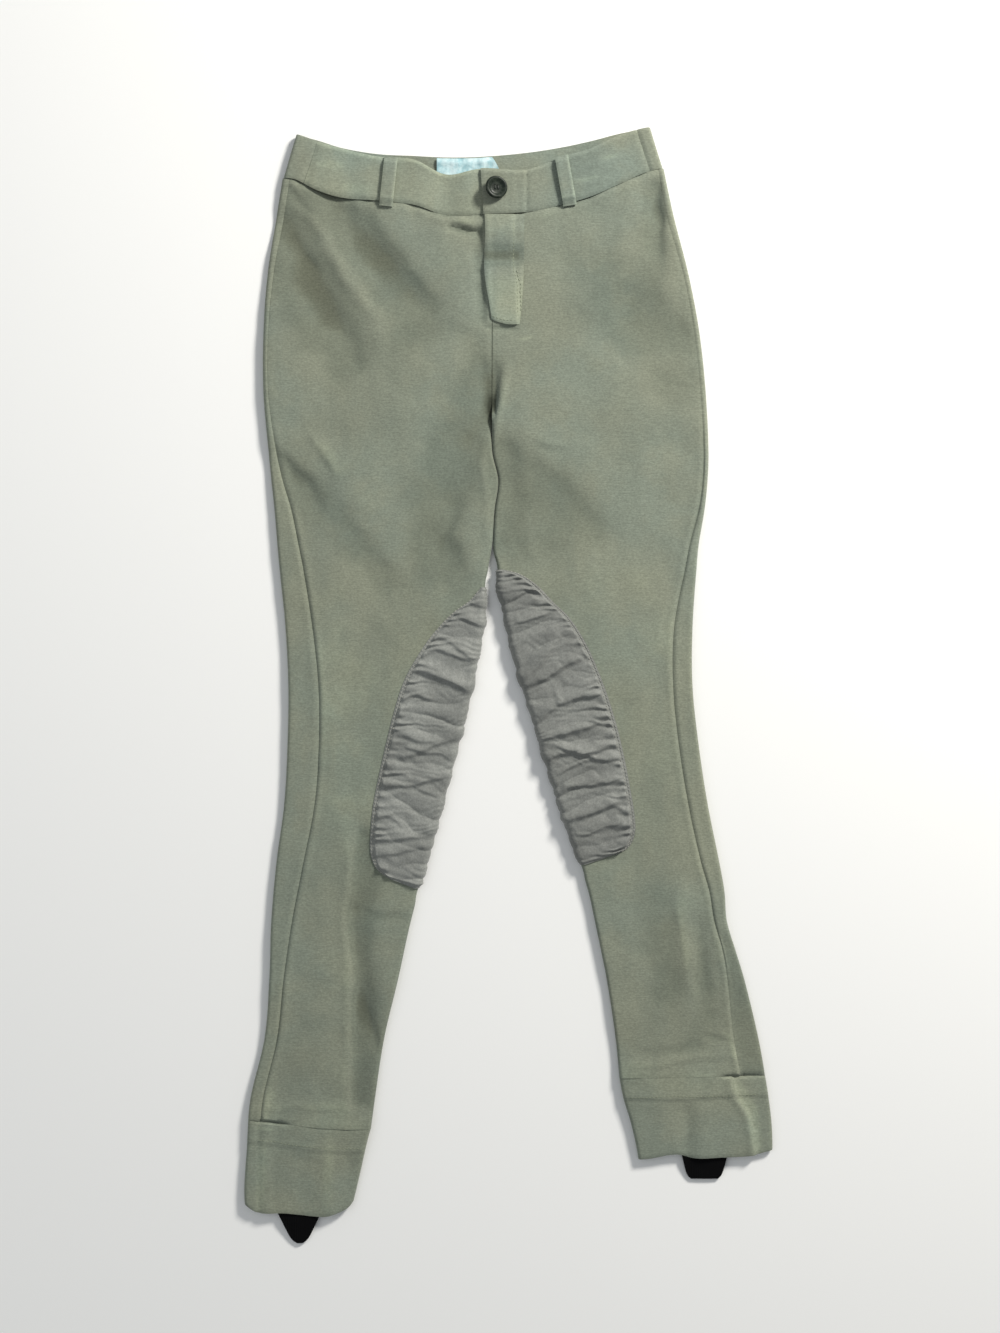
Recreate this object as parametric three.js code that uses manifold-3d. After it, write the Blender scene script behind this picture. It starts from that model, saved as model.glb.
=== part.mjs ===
// Riding jodhpurs with knee patches, laid flat on their back with the front up.
// Units are millimetres. The waist lies towards +Y, the hems towards -Y, and Z = 0 is the surface below them.
// X = 0 is the middle of the width. A leg's tables give u, the distance from X = 0 towards its own side.
import * as THREE from "three";
import Module from "manifold-3d";

const { lerp, smoothstep, clamp, degToRad } = THREE.MathUtils;

// Cloth and how its layers lie
const CLOTH = 1.2; // wall of the leg panels
const DOUBLED = 2.0; // wall of the waistband and the cuffs, which are folded double
const PATCH_CLOTH = 1.0;
const GAP = 0.3; // clearance between any two pieces
const SEAM_GAP = 0.2; // each of two cloths stops this short of the seam between them
const BED_GAP = 0.35; // a piece that lies on a folded face stands off it by this
const PANEL_TOP = 5.7; // upper face of the front panels
const BAND_TOP = 7.0; // upper face of the waistband and the cuffs
const LOWEST_TOP = 3.2; // a trough presses the front no lower than this
const EDGE_REACH = 3.0; // how far a rolled edge reaches in from the outline
const PATCH_RECESS = PATCH_CLOTH + GAP; // the panels draw back by this where a patch wraps their edge
const RECESS_ENDS = 22; // above and below the patch they ease back out over this length

const NEAR = { waist: 432, knee: 0, cuff: -360 }; // about where a leg's waist, knee and cuff lie

// How finely each piece is divided
const UPPER_ROWS = 8; // from the waist seam to the crotch
const CROTCH_ROWS = 10; // where the inner edges part
const LOWER_ROWS = 22; // from there to the cuff seam
const FRONT_COLUMNS = 14;
const STRIP_COLUMNS = 2;
const UNDER_COLUMNS = 6;
const BAND_COLUMNS = 16;
const BAND_ROWS = 3;
const SMALL_ROWS = 8; // placket, loops and straps
const ROLL_STEPS = 3;

// Outline of each leg: outer edge, width of the back panel that shows before the side seam, and inner edge
const LEFT_LEG = [
  { y: 440, outer: 191, strip: 6.5, inner: 14 },
  { y: 400, outer: 197.6, strip: 6.5, inner: 14 },
  { y: 350, outer: 205.3, strip: 5.5, inner: 14 },
  { y: 300, outer: 208.7, strip: 4.6, inner: 14 },
  { y: 250, outer: 208.7, strip: 4.6, inner: 14.2 },
  { y: 200, outer: 204.4, strip: 6.8, inner: 13.8 },
  { y: 175, outer: 202, strip: 9.8, inner: 8.6 },
  { y: 150, outer: 199.3, strip: 14.5, inner: 11.8 },
  { y: 120, outer: 196.8, strip: 18.3, inner: 13.8 },
  { y: 100, outer: 195, strip: 20.5, inner: 17.2 },
  { y: 50, outer: 190, strip: 23.3, inner: 21.7 },
  { y: 0, outer: 187.5, strip: 26, inner: 31 },
  { y: -50, outer: 188.2, strip: 27, inner: 43 },
  { y: -100, outer: 191, strip: 26.3, inner: 56 },
  { y: -150, outer: 197.6, strip: 23.3, inner: 69.5 },
  { y: -200, outer: 202, strip: 18, inner: 83 },
  { y: -250, outer: 203.7, strip: 12.5, inner: 94 },
  { y: -300, outer: 207.8, strip: 11, inner: 105.8 },
  { y: -350, outer: 219.5, strip: 11, inner: 113.5 },
  { y: -380, outer: 222.5, strip: 11, inner: 117.5 },
];
const RIGHT_LEG = [
  { y: 440, outer: 132.2, strip: 5, inner: -13.6 },
  { y: 400, outer: 140.7, strip: 6, inner: -13.6 },
  { y: 350, outer: 153.4, strip: 4.6, inner: -13.6 },
  { y: 300, outer: 162.8, strip: 4.4, inner: -13.6 },
  { y: 250, outer: 168, strip: 4.4, inner: -13.8 },
  { y: 200, outer: 170.4, strip: 4.4, inner: -13.4 },
  { y: 175, outer: 169.6, strip: 4.4, inner: -8.2 },
  { y: 150, outer: 167, strip: 5.2, inner: -11.4 },
  { y: 120, outer: 162, strip: 7.8, inner: -13 },
  { y: 100, outer: 160.2, strip: 9.8, inner: -10.6 },
  { y: 50, outer: 156.8, strip: 15.8, inner: -1.3 },
  { y: 0, outer: 156.8, strip: 16.6, inner: 12.3 },
  { y: -50, outer: 162, strip: 17, inner: 27.6 },
  { y: -100, outer: 169.6, strip: 16.6, inner: 43 },
  { y: -150, outer: 179.6, strip: 15.7, inner: 59.8 },
  { y: -175, outer: 184, strip: 13, inner: 68 },
  { y: -200, outer: 186, strip: 10.8, inner: 73.5 },
  { y: -225, outer: 193.4, strip: 11.2, inner: 78.7 },
  { y: -250, outer: 201, strip: 14.5, inner: 83.7 },
  { y: -300, outer: 213, strip: 21, inner: 91.2 },
  { y: -340, outer: 220, strip: 20.4, inner: 95 },
];

// The waist from side to side: the seams that join legs and bands, and the upper edges of the bands
const WAIST = [
  { x: -192, seam: 432.2, backSeam: 432.2, front: 471, back: 471 },
  { x: -181, seam: 430.5, backSeam: 429.6, front: 469.5, back: 469.5 },
  { x: -163, seam: 421.5, backSeam: 425, front: 463.4, back: 465 },
  { x: -142, seam: 415.2, backSeam: 420.5, front: 457.3, back: 458.5 },
  { x: -112, seam: 412.6, backSeam: 415.4, front: 450.4, back: 453.4 },
  { x: -81, seam: 409, backSeam: 412.4, front: 447.6, back: 451.8 },
  { x: -53, seam: 400.4, backSeam: 411.2, front: 435.4, back: 450.5 },
  { x: -24, seam: 401, backSeam: 411.4, front: 440, back: 451 },
  { x: 15, seam: 402.8, backSeam: 414.2, front: 439.2, back: 454.4 },
  { x: 45, seam: 409, backSeam: 418.4, front: 449.8, back: 459 },
  { x: 71, seam: 416.4, backSeam: 423.6, front: 457.6, back: 464.6 },
  { x: 95, seam: 427, backSeam: 429.8, front: 468.8, back: 470.8 },
  { x: 119, seam: 437.4, backSeam: 437, front: 475, back: 475 },
  { x: 133, seam: 440.5, backSeam: 440.5, front: 475, back: 475 },
];

// Ends of the band pieces, as x at the waist seam and at the upper edge
const BAND_ENDS = {
  leftOutline: { low: -191.5, high: -180.5 },
  leftSideSeam: { low: -174, high: -162.3 },
  underTab: { low: -9, high: -9 },
  tab: { low: -21.3, high: -23.7 },
  rightSideSeam: { low: 120.5, high: 109 },
  rightOutline: { low: 131.4, high: 120.6 },
};
const TAB = { lift: 1.4, flatTo: -6, easedBy: 24 }; // the tab lies higher, over the band's other end
const UNDER_TAB = { dip: 0.9, from: -36, to: -25 }; // and presses that end down

// Where the crotch lies: above it the two legs are one, below it each inner edge is rolled
const CROTCH = { joined: 236, parted: 206, rowsFrom: 240, rowsTo: 110 };

// Soft folds of the front: a line from one end to the other, its half width, and how far it rises.
// Below 0 it sinks.
const FOLDS = [
  { name: "left hip, long", x0: -147, y0: 408, x1: -82, y1: 331, width: 20, rise: -2.2 },
  { name: "left hip, side", x0: -185, y0: 379, x1: -138, y1: 290, width: 14, rise: -1.7 },
  { name: "left hip, crest", x0: -165, y0: 395, x1: -112, y1: 312, width: 11, rise: 0.8 },
  { name: "fly, below", x0: -14, y0: 300, x1: -15, y1: 226, width: 9, rise: -2.6 },
  { name: "left crotch", x0: -20, y0: 243, x1: -60, y1: 115, width: 13, rise: -1.7 },
  { name: "left inner thigh", x0: -60, y0: 115, x1: -41, y1: 95, width: 10, rise: -1.1 },
  { name: "right inner thigh", x0: -7, y0: 196, x1: 2, y1: 122, width: 10, rise: -2.0 },
  { name: "right thigh", x0: 11, y0: 184, x1: 62, y1: 148, width: 19, rise: -1.6 },
  { name: "right hip, corner", x0: 131, y0: 420, x1: 126, y1: 373, width: 8, rise: -2.2 },
  { name: "right hip, side", x0: 126, y0: 373, x1: 119, y1: 311, width: 13, rise: -1.2 },
  { name: "right hip, long", x0: 91, y0: 331, x1: 151, y1: 290, width: 22, rise: -1.8 },
  { name: "left thigh, side", x0: -190, y0: 192, x1: -165, y1: 156, width: 12, rise: -2.1 },
  { name: "left thigh", x0: -150, y0: 154, x1: -112, y1: 103, width: 14, rise: -1.1 },
  { name: "left shin", x0: -131, y0: -135, x1: -133, y1: -352, width: 8, rise: -2.3 },
  { name: "left ankle", x0: -124, y0: -271, x1: -112, y1: -309, width: 7, rise: -1.1 },
  { name: "right shin, inner", x0: 132, y0: -200, x1: 136, y1: -267, width: 10, rise: -1.6 },
  { name: "right shin, crest", x0: 142, y0: -180, x1: 154, y1: -275, width: 9, rise: 0.8 },
  { name: "right shin, outer", x0: 162, y0: -212, x1: 168, y1: -267, width: 9, rise: -1.6 },
];
const SEAM_RIDGE = { rise: 0.5, width: 5 }; // the pressed allowances lift the front beside each side seam

// Knee patches: inner is where a row meets the leg's inner edge, u and y where it meets the sewn edge
const LEFT_PATCH = [
  { inner: 84, u: 24.6, y: 82.5 },
  { inner: 77, u: 33, y: 72.4 },
  { inner: 68, u: 46.4, y: 63 },
  { inner: 56, u: 58, y: 51.5 },
  { inner: 38, u: 71, y: 35 },
  { inner: 10, u: 87, y: 8 },
  { inner: -20, u: 96.7, y: -20 },
  { inner: -60, u: 107, y: -62 },
  { inner: -100, u: 114.7, y: -100 },
  { inner: -125, u: 117.4, y: -126 },
  { inner: -143, u: 117.6, y: -141 },
  { inner: -157, u: 114.4, y: -152 },
  { inner: -166, u: 109, y: -158.6 },
  { inner: -172, u: 101.5, y: -163.5 },
];
const RIGHT_PATCH = [
  { inner: 99, u: -4.5, y: 99 },
  { inner: 93, u: 10, y: 95 },
  { inner: 84, u: 24, y: 86 },
  { inner: 72, u: 38, y: 71.5 },
  { inner: 55, u: 53.4, y: 56 },
  { inner: 30, u: 68, y: 32 },
  { inner: 0, u: 81.3, y: 0 },
  { inner: -30, u: 91, y: -30 },
  { inner: -60, u: 98.3, y: -60 },
  { inner: -90, u: 104, y: -90 },
  { inner: -110, u: 107.2, y: -110 },
  { inner: -127, u: 107.8, y: -123 },
  { inner: -140, u: 104.6, y: -133.5 },
  { inner: -148, u: 99, y: -139.4 },
  { inner: -152, u: 92, y: -142.6 },
];
const PUCKERS = { count: 24, stepsEach: 3, depth: 0.9, lean: 0.35 }; // gathers that cross each patch
const PATCH_COLUMNS = 4;
const PATCH_UNDER_ROWS = 12;

// Cuffs: the outline from the seam that joins them to the leg down to the hem, and both of those lines
const LEFT_CUFF = [
  { y: -360, outer: 221.6, inner: 114.2 },
  { y: -390, outer: 222.6, inner: 120.8 },
  { y: -410, outer: 224, inner: 125.2 },
  { y: -430, outer: 225, inner: 129.8 },
  { y: -455, outer: 223.6, inner: 136 },
];
const RIGHT_CUFF = [
  { y: -325, outer: 218, inner: 93.2 },
  { y: -350, outer: 221.6, inner: 97.6 },
  { y: -370, outer: 224, inner: 103.6 },
  { y: -390, outer: 225, inner: 108.4 },
  { y: -405, outer: 224.4, inner: 111 },
];
const LEFT_CUFF_LINES = [
  { u: 112, seam: -376.6, hem: -428 },
  { u: 128, seam: -377, hem: -434 },
  { u: 136, seam: -377, hem: -443.4 },
  { u: 146, seam: -376.8, hem: -448.6 },
  { u: 158, seam: -376.2, hem: -451.6 },
  { u: 190, seam: -372.4, hem: -448.6 },
  { u: 214, seam: -369.4, hem: -447.6 },
  { u: 226, seam: -368.2, hem: -440 },
];
const RIGHT_CUFF_LINES = [
  { u: 92, seam: -333.4, hem: -403 },
  { u: 118, seam: -333.4, hem: -402.4 },
  { u: 142, seam: -333, hem: -398.4 },
  { u: 158, seam: -332.6, hem: -401.6 },
  { u: 182, seam: -332, hem: -401 },
  { u: 206, seam: -331.6, hem: -399.6 },
  { u: 226, seam: -331.6, hem: -394.8 },
];
const CUFF_ROWS = 4;
const CUFF_COLUMNS = 8;

// Elastic foot straps: an elastic folded to a V, whose fold shows below the hem
const STRAP = { wall: 1.8, length: 72, arm: 22, bite: 8 };
const LEFT_STRAP = { x: -178, tip: -475, hem: -449, lean: 0.56, blunt: 2 };
const RIGHT_STRAP = { x: 167.6, tip: -420, hem: -400, lean: 0.4, blunt: 20 };

// Fly placket, belt loops, label and button
const PLACKET = { wall: 1.6, high: 401, low: 311.5, left: -21, leftLow: -15.5, right: 13.6, rightLow: 9.5 };
const BELT_LOOP = { wall: 1.4, width: 11.5, arch: 1.3, end: 5 };
const LEFT_LOOP = { x0: -99.6, y0: 449, x1: -104, y1: 407.6 };
const RIGHT_LOOP = { x0: 44.8, y0: 450.4, x1: 52.3, y1: 408 };
const LABEL = { wall: 1.0, left: -61, right: -6, low: 429, drop: 1.2 };
const BUTTON = { x: -10.7, y: 422.6, radius: 9.6, thickness: 3.2, foot: 0.72, tilt: 16, sides: 20 };
const BUTTON_HOLES = { radius: 0.9, spread: 1.9 };

const CLOTH_COLOUR = new THREE.Color(0.262, 0.305, 0.223);
const PATCH_COLOUR = new THREE.Color(0.254, 0.231, 0.202);
const ELASTIC_COLOUR = new THREE.Color(0.006, 0.006, 0.008);
const BUTTON_COLOUR = new THREE.Color(0.02, 0.025, 0.022);
const LABEL_COLOUR = new THREE.Color(0.6, 0.75, 0.8);

const left = { side: -1, outline: LEFT_LEG, patch: LEFT_PATCH, cuff: LEFT_CUFF, lines: LEFT_CUFF_LINES };
const right = { side: 1, outline: RIGHT_LEG, patch: RIGHT_PATCH, cuff: RIGHT_CUFF, lines: RIGHT_CUFF_LINES };

// A smooth curve through one column of a table, read at a value of its key column
function curve(table, key, column) {
  const rows = [...table].sort((a, b) => a[key] - b[key]);
  const slope = (i) => {
    const before = rows[Math.max(0, i - 1)];
    const after = rows[Math.min(rows.length - 1, i + 1)];
    return (after[column] - before[column]) / (after[key] - before[key]);
  };
  return (at) => {
    const place = clamp(at, rows[0][key], rows[rows.length - 1][key]);
    let i = 0;
    while (i < rows.length - 2 && rows[i + 1][key] < place) i += 1;
    const span = rows[i + 1][key] - rows[i][key];
    const t = (place - rows[i][key]) / span;
    const fromStart = (1 + 2 * t) * (1 - t) ** 2 * rows[i][column] + t * (1 - t) ** 2 * span * slope(i);
    const fromEnd = t * t * (3 - 2 * t) * rows[i + 1][column] + t * t * (t - 1) * span * slope(i + 1);
    return fromStart + fromEnd;
  };
}

const waistSeam = { front: curve(WAIST, "x", "seam"), back: curve(WAIST, "x", "backSeam") };
const bandTop = { front: curve(WAIST, "x", "front"), back: curve(WAIST, "x", "back") };
for (const leg of [left, right]) {
  leg.outer = curve(leg.outline, "y", "outer");
  leg.strip = curve(leg.outline, "y", "strip");
  leg.bareInner = curve(leg.outline, "y", "inner");
  leg.patchEdge = curve(leg.patch, "y", "u");
  leg.cuffOuter = curve(leg.cuff, "y", "outer");
  leg.cuffInner = curve(leg.cuff, "y", "inner");
  leg.cuffSeam = curve(leg.lines, "u", "seam");
  leg.hem = curve(leg.lines, "u", "hem");
  leg.patchHigh = leg.patch[0].inner;
  leg.patchLow = leg.patch[leg.patch.length - 1].inner;
}

const range = (count) => Array.from({ length: count + 1 }, (_, i) => i / count);

// How much the leg draws in under the patch at y, from 0 to 1
function patchShare(leg, y) {
  const below = smoothstep(y, leg.patchLow - 2 * RECESS_ENDS, leg.patchLow - RECESS_ENDS);
  const above = 1 - smoothstep(y, leg.patchHigh + RECESS_ENDS, leg.patchHigh + 2 * RECESS_ENDS);
  return below * above;
}

const innerEdge = (leg, y) => leg.bareInner(y) + PATCH_RECESS * patchShare(leg, y);

function distanceToFold(fold, x, y) {
  const along = new THREE.Vector2(fold.x1 - fold.x0, fold.y1 - fold.y0);
  const offset = new THREE.Vector2(x - fold.x0, y - fold.y0);
  const t = clamp(offset.dot(along) / along.lengthSq(), 0, 1);
  return offset.sub(along.multiplyScalar(t)).length();
}

// Upper face of the cloth that faces up, at u and y on a leg
function topHeight(leg, u, y) {
  let height = PANEL_TOP;
  for (const fold of FOLDS) {
    const d = distanceToFold(fold, leg.side * u, y) / fold.width;
    height += fold.rise * Math.exp(-d * d);
  }
  const fromSeam = (u - (leg.outer(y) - leg.strip(y))) / SEAM_RIDGE.width;
  height += SEAM_RIDGE.rise * Math.exp(-fromSeam * fromSeam);
  return Math.max(height, LOWEST_TOP);
}

// Places of a rolled edge, from the flat on. Share says how far it turns down: 0 is flat, 1 a quarter circle.
// In is the distance still to go to the edge, and down is the drop as a share of the roll's height.
function roll(share, step) {
  const turn = Math.max(share, 1e-3) * (Math.PI / 2);
  return {
    angle: turn * step,
    in: (EDGE_REACH * (Math.PI / 2) * (Math.sin(turn) - Math.sin(turn * step))) / turn,
    down: ((Math.PI / 2) * (1 - Math.cos(turn * step))) / turn,
  };
}

const atHeight = (leg, { u, y }, z) => new THREE.Vector3(leg.side * u, y, z);

// Height of a row, a share of the way down from 0 to 1, before the seams at its ends bend it
function levelOf(share, high, low) {
  const rows = UPPER_ROWS + CROTCH_ROWS + LOWER_ROWS;
  const row = share * rows;
  if (row < UPPER_ROWS) return lerp(high, CROTCH.rowsFrom, row / UPPER_ROWS);
  if (row < UPPER_ROWS + CROTCH_ROWS) {
    return lerp(CROTCH.rowsFrom, CROTCH.rowsTo, (row - UPPER_ROWS) / CROTCH_ROWS);
  }
  return lerp(CROTCH.rowsTo, low, (row - UPPER_ROWS - CROTCH_ROWS) / LOWER_ROWS);
}

// A leg's waist and cuff seams are not level, so the rows near them bend to follow
function rowHeight(leg, share, u, seam) {
  const high = seam(leg.side * leg.outer(NEAR.waist));
  const low = leg.cuffSeam(leg.cuffOuter(NEAR.cuff));
  const y = levelOf(share, high, low);
  const bendHigh = 1 - smoothstep(high - y, 0, high - CROTCH.rowsFrom);
  const bendLow = smoothstep(share, 0.85, 1);
  return y + bendHigh * (seam(leg.side * u) - high - SEAM_GAP) + bendLow * (leg.cuffSeam(u) - low + SEAM_GAP);
}

// Where a row of the leg meets a line that runs down it, given as its u at each y
function onRow(leg, share, line, seam = waistSeam.front) {
  let y = rowHeight(leg, share, leg.outer(NEAR.knee), seam);
  let u = line(y);
  for (let pass = 0; pass < PASSES; pass += 1) {
    y = rowHeight(leg, share, u, seam);
    u = line(y);
  }
  return { u, y };
}

const crotchRoll = (y) => 1 - smoothstep(y, CROTCH.parted, CROTCH.joined);
const PASSES = 5; // a place on a slanting row is found by as many steps
const legRows = range(UPPER_ROWS + CROTCH_ROWS + LOWER_ROWS);
const inCrotch = (i) => i > UPPER_ROWS && i < UPPER_ROWS + CROTCH_ROWS;
// The cloth's inner face has fewer rows
const innerLegRows = legRows.filter((_, i) => i % 2 === 0 || inCrotch(i));

// Points of the front panel, from the side seam across to the inner edge, which rolls down below the crotch.
// Depth is how far the points lie inside the cloth's outer face.
function frontRow(leg, share, depth) {
  const rollStart = (y) => innerEdge(leg, y) + roll(crotchRoll(y), 0).in;
  const flat = range(FRONT_COLUMNS).map((t) => {
    const seam = (y) => leg.outer(y) - leg.strip(y) - SEAM_GAP;
    const point = onRow(leg, share, (y) => lerp(seam(y), rollStart(y), t));
    return atHeight(leg, point, topHeight(leg, point.u, point.y) - depth);
  });
  const edge = range(ROLL_STEPS).slice(1).map((step) => {
    const point = onRow(leg, share, (y) => innerEdge(leg, y) + roll(crotchRoll(y), step).in);
    return rolledDown(leg, point, roll(crotchRoll(point.y), step), depth);
  });
  return [...flat, ...edge];
}

// A point of a front's rolled edge, depth inside its outer face
function rolledDown(leg, point, turned, depth) {
  const high = topHeight(leg, innerEdge(leg, point.y) + EDGE_REACH, point.y);
  const z = high - turned.down * (high / 2 - GAP / 2);
  const u = point.u + depth * Math.sin(turned.angle);
  return atHeight(leg, { u, y: point.y }, z - depth * Math.cos(turned.angle));
}

// Points of the back panel: from the side seam out, round the outer edge, across underneath,
// and up the inner edge
function backRow(leg, share, depth) {
  const strip = range(STRIP_COLUMNS).map((t) => {
    const seam = (y) => leg.outer(y) - leg.strip(y) + SEAM_GAP;
    const point = onRow(leg, share, (y) => lerp(seam(y), leg.outer(y) - EDGE_REACH, t));
    return atHeight(leg, point, topHeight(leg, point.u, point.y) - depth);
  });
  const turn = range(2 * ROLL_STEPS).slice(1).map((step) => {
    const angle = Math.PI * (0.5 - step);
    const point = onRow(leg, share, (y) => leg.outer(y) - EDGE_REACH * (1 - Math.cos(angle)));
    const half = topHeight(leg, leg.outer(point.y) - EDGE_REACH, point.y) / 2;
    point.u -= depth * Math.cos(angle);
    return atHeight(leg, point, half + (half - depth) * Math.sin(angle));
  });
  const under = range(UNDER_COLUMNS).slice(1).map((t) => {
    const rollStart = (y) => innerEdge(leg, y) + roll(crotchRoll(y), 0).in;
    const line = (y) => lerp(leg.outer(y) - EDGE_REACH, rollStart(y), t);
    return atHeight(leg, onRow(leg, share, line, waistSeam.back), depth);
  });
  const edge = range(ROLL_STEPS).slice(1).map((step) => {
    const line = (y) => innerEdge(leg, y) + roll(crotchRoll(y), step).in;
    const point = onRow(leg, share, line, waistSeam.back);
    const turned = roll(crotchRoll(point.y), step);
    const high = topHeight(leg, innerEdge(leg, point.y) + EDGE_REACH, point.y);
    point.u += depth * Math.sin(turned.angle);
    return atHeight(leg, point, turned.down * (high / 2 - GAP / 2) + depth * Math.cos(turned.angle));
  });
  return [...strip, ...turn, ...under, ...edge];
}

// Joins two lists of vertices that run side by side, whose counts may differ, by the shorter step each time
function zip(points, triangles, outside, inside) {
  let i = 0;
  let j = 0;
  const apart = (a, b) => points[a].distanceTo(points[b]);
  while (i < outside.length - 1 || j < inside.length - 1) {
    const insideIsDone = j === inside.length - 1;
    const outsideIsDone = i === outside.length - 1;
    const outsideIsNearer = () => apart(outside[i + 1], inside[j]) <= apart(outside[i], inside[j + 1]);
    if (insideIsDone || (!outsideIsDone && outsideIsNearer())) {
      triangles.push([outside[i + 1], outside[i], inside[j]]);
      i += 1;
    } else {
      triangles.push([inside[j], inside[j + 1], outside[i]]);
      j += 1;
    }
  }
}

// Vertex numbers along each open side of a grid, in the order in which its faces run round it
function gridSides(rows, columns, first, closed) {
  const at = (i, j) => first + i * columns + (j % columns);
  const across = Array.from({ length: columns + (closed ? 1 : 0) }, (_, j) => j);
  const down = Array.from({ length: rows }, (_, i) => i);
  const ends = [across.map((j) => at(0, j)), [...across].reverse().map((j) => at(rows - 1, j))];
  if (closed) return ends;
  const flanks = [down.map((i) => at(i, columns - 1)), [...down].reverse().map((i) => at(i, 0))];
  return [...ends, ...flanks];
}

function gridTriangles(rows, columns, first, closed) {
  const triangles = [];
  for (let i = 0; i < rows - 1; i += 1) {
    for (let j = 0; j < columns - (closed ? 0 : 1); j += 1) {
      const a = first + i * columns + j;
      const b = first + i * columns + ((j + 1) % columns);
      triangles.push([a, b, b + columns], [a, b + columns, a + columns]);
    }
  }
  return triangles;
}

// A closed wall between an outer and an inner grid; closed means that each row joins up as a ring
function wall(outer, inner, closed = false) {
  const points = [...outer.flat(), ...inner.flat()];
  const innerFirst = outer.length * outer[0].length;
  const triangles = gridTriangles(outer.length, outer[0].length, 0, closed);
  for (const [a, b, c] of gridTriangles(inner.length, inner[0].length, innerFirst, closed)) {
    triangles.push([a, c, b]);
  }
  const outerSides = gridSides(outer.length, outer[0].length, 0, closed);
  const innerSides = gridSides(inner.length, inner[0].length, innerFirst, closed);
  outerSides.forEach((side, i) => zip(points, triangles, side, innerSides[i]));
  return outward(points, triangles);
}

// A geometry whose faces point out, whichever way round its grids were laid
function outward(points, triangles) {
  let volume = 0;
  for (const [a, b, c] of triangles) {
    volume += points[a].dot(new THREE.Vector3().crossVectors(points[b], points[c]));
  }
  const faces = volume < 0 ? triangles.map(([a, b, c]) => [a, c, b]) : triangles;
  const geometry = new THREE.BufferGeometry().setFromPoints(points);
  geometry.setIndex(faces.flat());
  geometry.computeVertexNormals();
  return geometry;
}

function frontPanel(leg) {
  const outer = legRows.map((share) => frontRow(leg, share, 0));
  return wall(outer, innerLegRows.map((share) => frontRow(leg, share, CLOTH)));
}

function backPanel(leg) {
  const outer = legRows.map((share) => backRow(leg, share, 0));
  return wall(outer, innerLegRows.map((share) => backRow(leg, share, CLOTH)));
}

// The face of the front panel under a patch: rows from the sewn edge to the leg's inner edge, and round it.
// Lift gives how far the points stand off that face, at a share down and a share across.
function patchBed(leg, rows, lift) {
  const places = leg.patch.map((row, i) => ({ ...row, share: i / (leg.patch.length - 1) }));
  const [inner, u, y] = ["inner", "u", "y"].map((column) => curve(places, "share", column));
  return range(rows).map((share) => {
    const end = innerEdge(leg, inner(share));
    const bed = range(PATCH_COLUMNS).map((t) => {
      const point = { u: lerp(u(share), end + EDGE_REACH, t), y: lerp(y(share), inner(share), t) };
      return atHeight(leg, point, topHeight(leg, point.u, point.y) + lift(share, t));
    });
    const edge = range(ROLL_STEPS).slice(1).map((step) => {
      const turned = roll(1, step);
      return rolledDown(leg, { u: end + turned.in, y: inner(share) }, turned, -lift(share, 1));
    });
    return [...bed, ...edge];
  });
}

// A patch lies on its bed and is gathered: its outer face rises in waves over a plain inner one
function kneePatch(leg) {
  const rows = PUCKERS.count * PUCKERS.stepsEach;
  const pucker = (share, across) => {
    const wave = 0.5 - 0.5 * Math.cos(2 * Math.PI * (share * PUCKERS.count + PUCKERS.lean * across));
    const ends = smoothstep(share, 0, 0.04) * (1 - smoothstep(share, 0.96, 1));
    return BED_GAP + PATCH_CLOTH + PUCKERS.depth * wave * ends;
  };
  return wall(patchBed(leg, rows, pucker), patchBed(leg, PATCH_UNDER_ROWS, () => BED_GAP));
}

// A strip of the waistband between two ends, lying on the front at a height that may change along it
function frontBand(start, end, height) {
  const grid = (depth) =>
    range(BAND_ROWS).map((share) =>
      range(BAND_COLUMNS).map((t) => {
        const x = lerp(lerp(start.low, start.high, share), lerp(end.low, end.high, share), t);
        const y = lerp(waistSeam.front(x) + SEAM_GAP, bandTop.front(x), share);
        return new THREE.Vector3(x, y, height(x) - depth);
      }),
    );
  return wall(grid(0), grid(DOUBLED));
}

const shifted = (end, by) => ({ low: end.low + by, high: end.high + by });

function leftBand() {
  const height = (x) => BAND_TOP - UNDER_TAB.dip * smoothstep(x, UNDER_TAB.from, UNDER_TAB.to);
  return frontBand(shifted(BAND_ENDS.leftSideSeam, SEAM_GAP), BAND_ENDS.underTab, height);
}

function rightBand() {
  const height = (x) => BAND_TOP + TAB.lift * (1 - smoothstep(x, TAB.flatTo, TAB.easedBy));
  return frontBand(BAND_ENDS.tab, shifted(BAND_ENDS.rightSideSeam, -SEAM_GAP), height);
}

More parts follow.
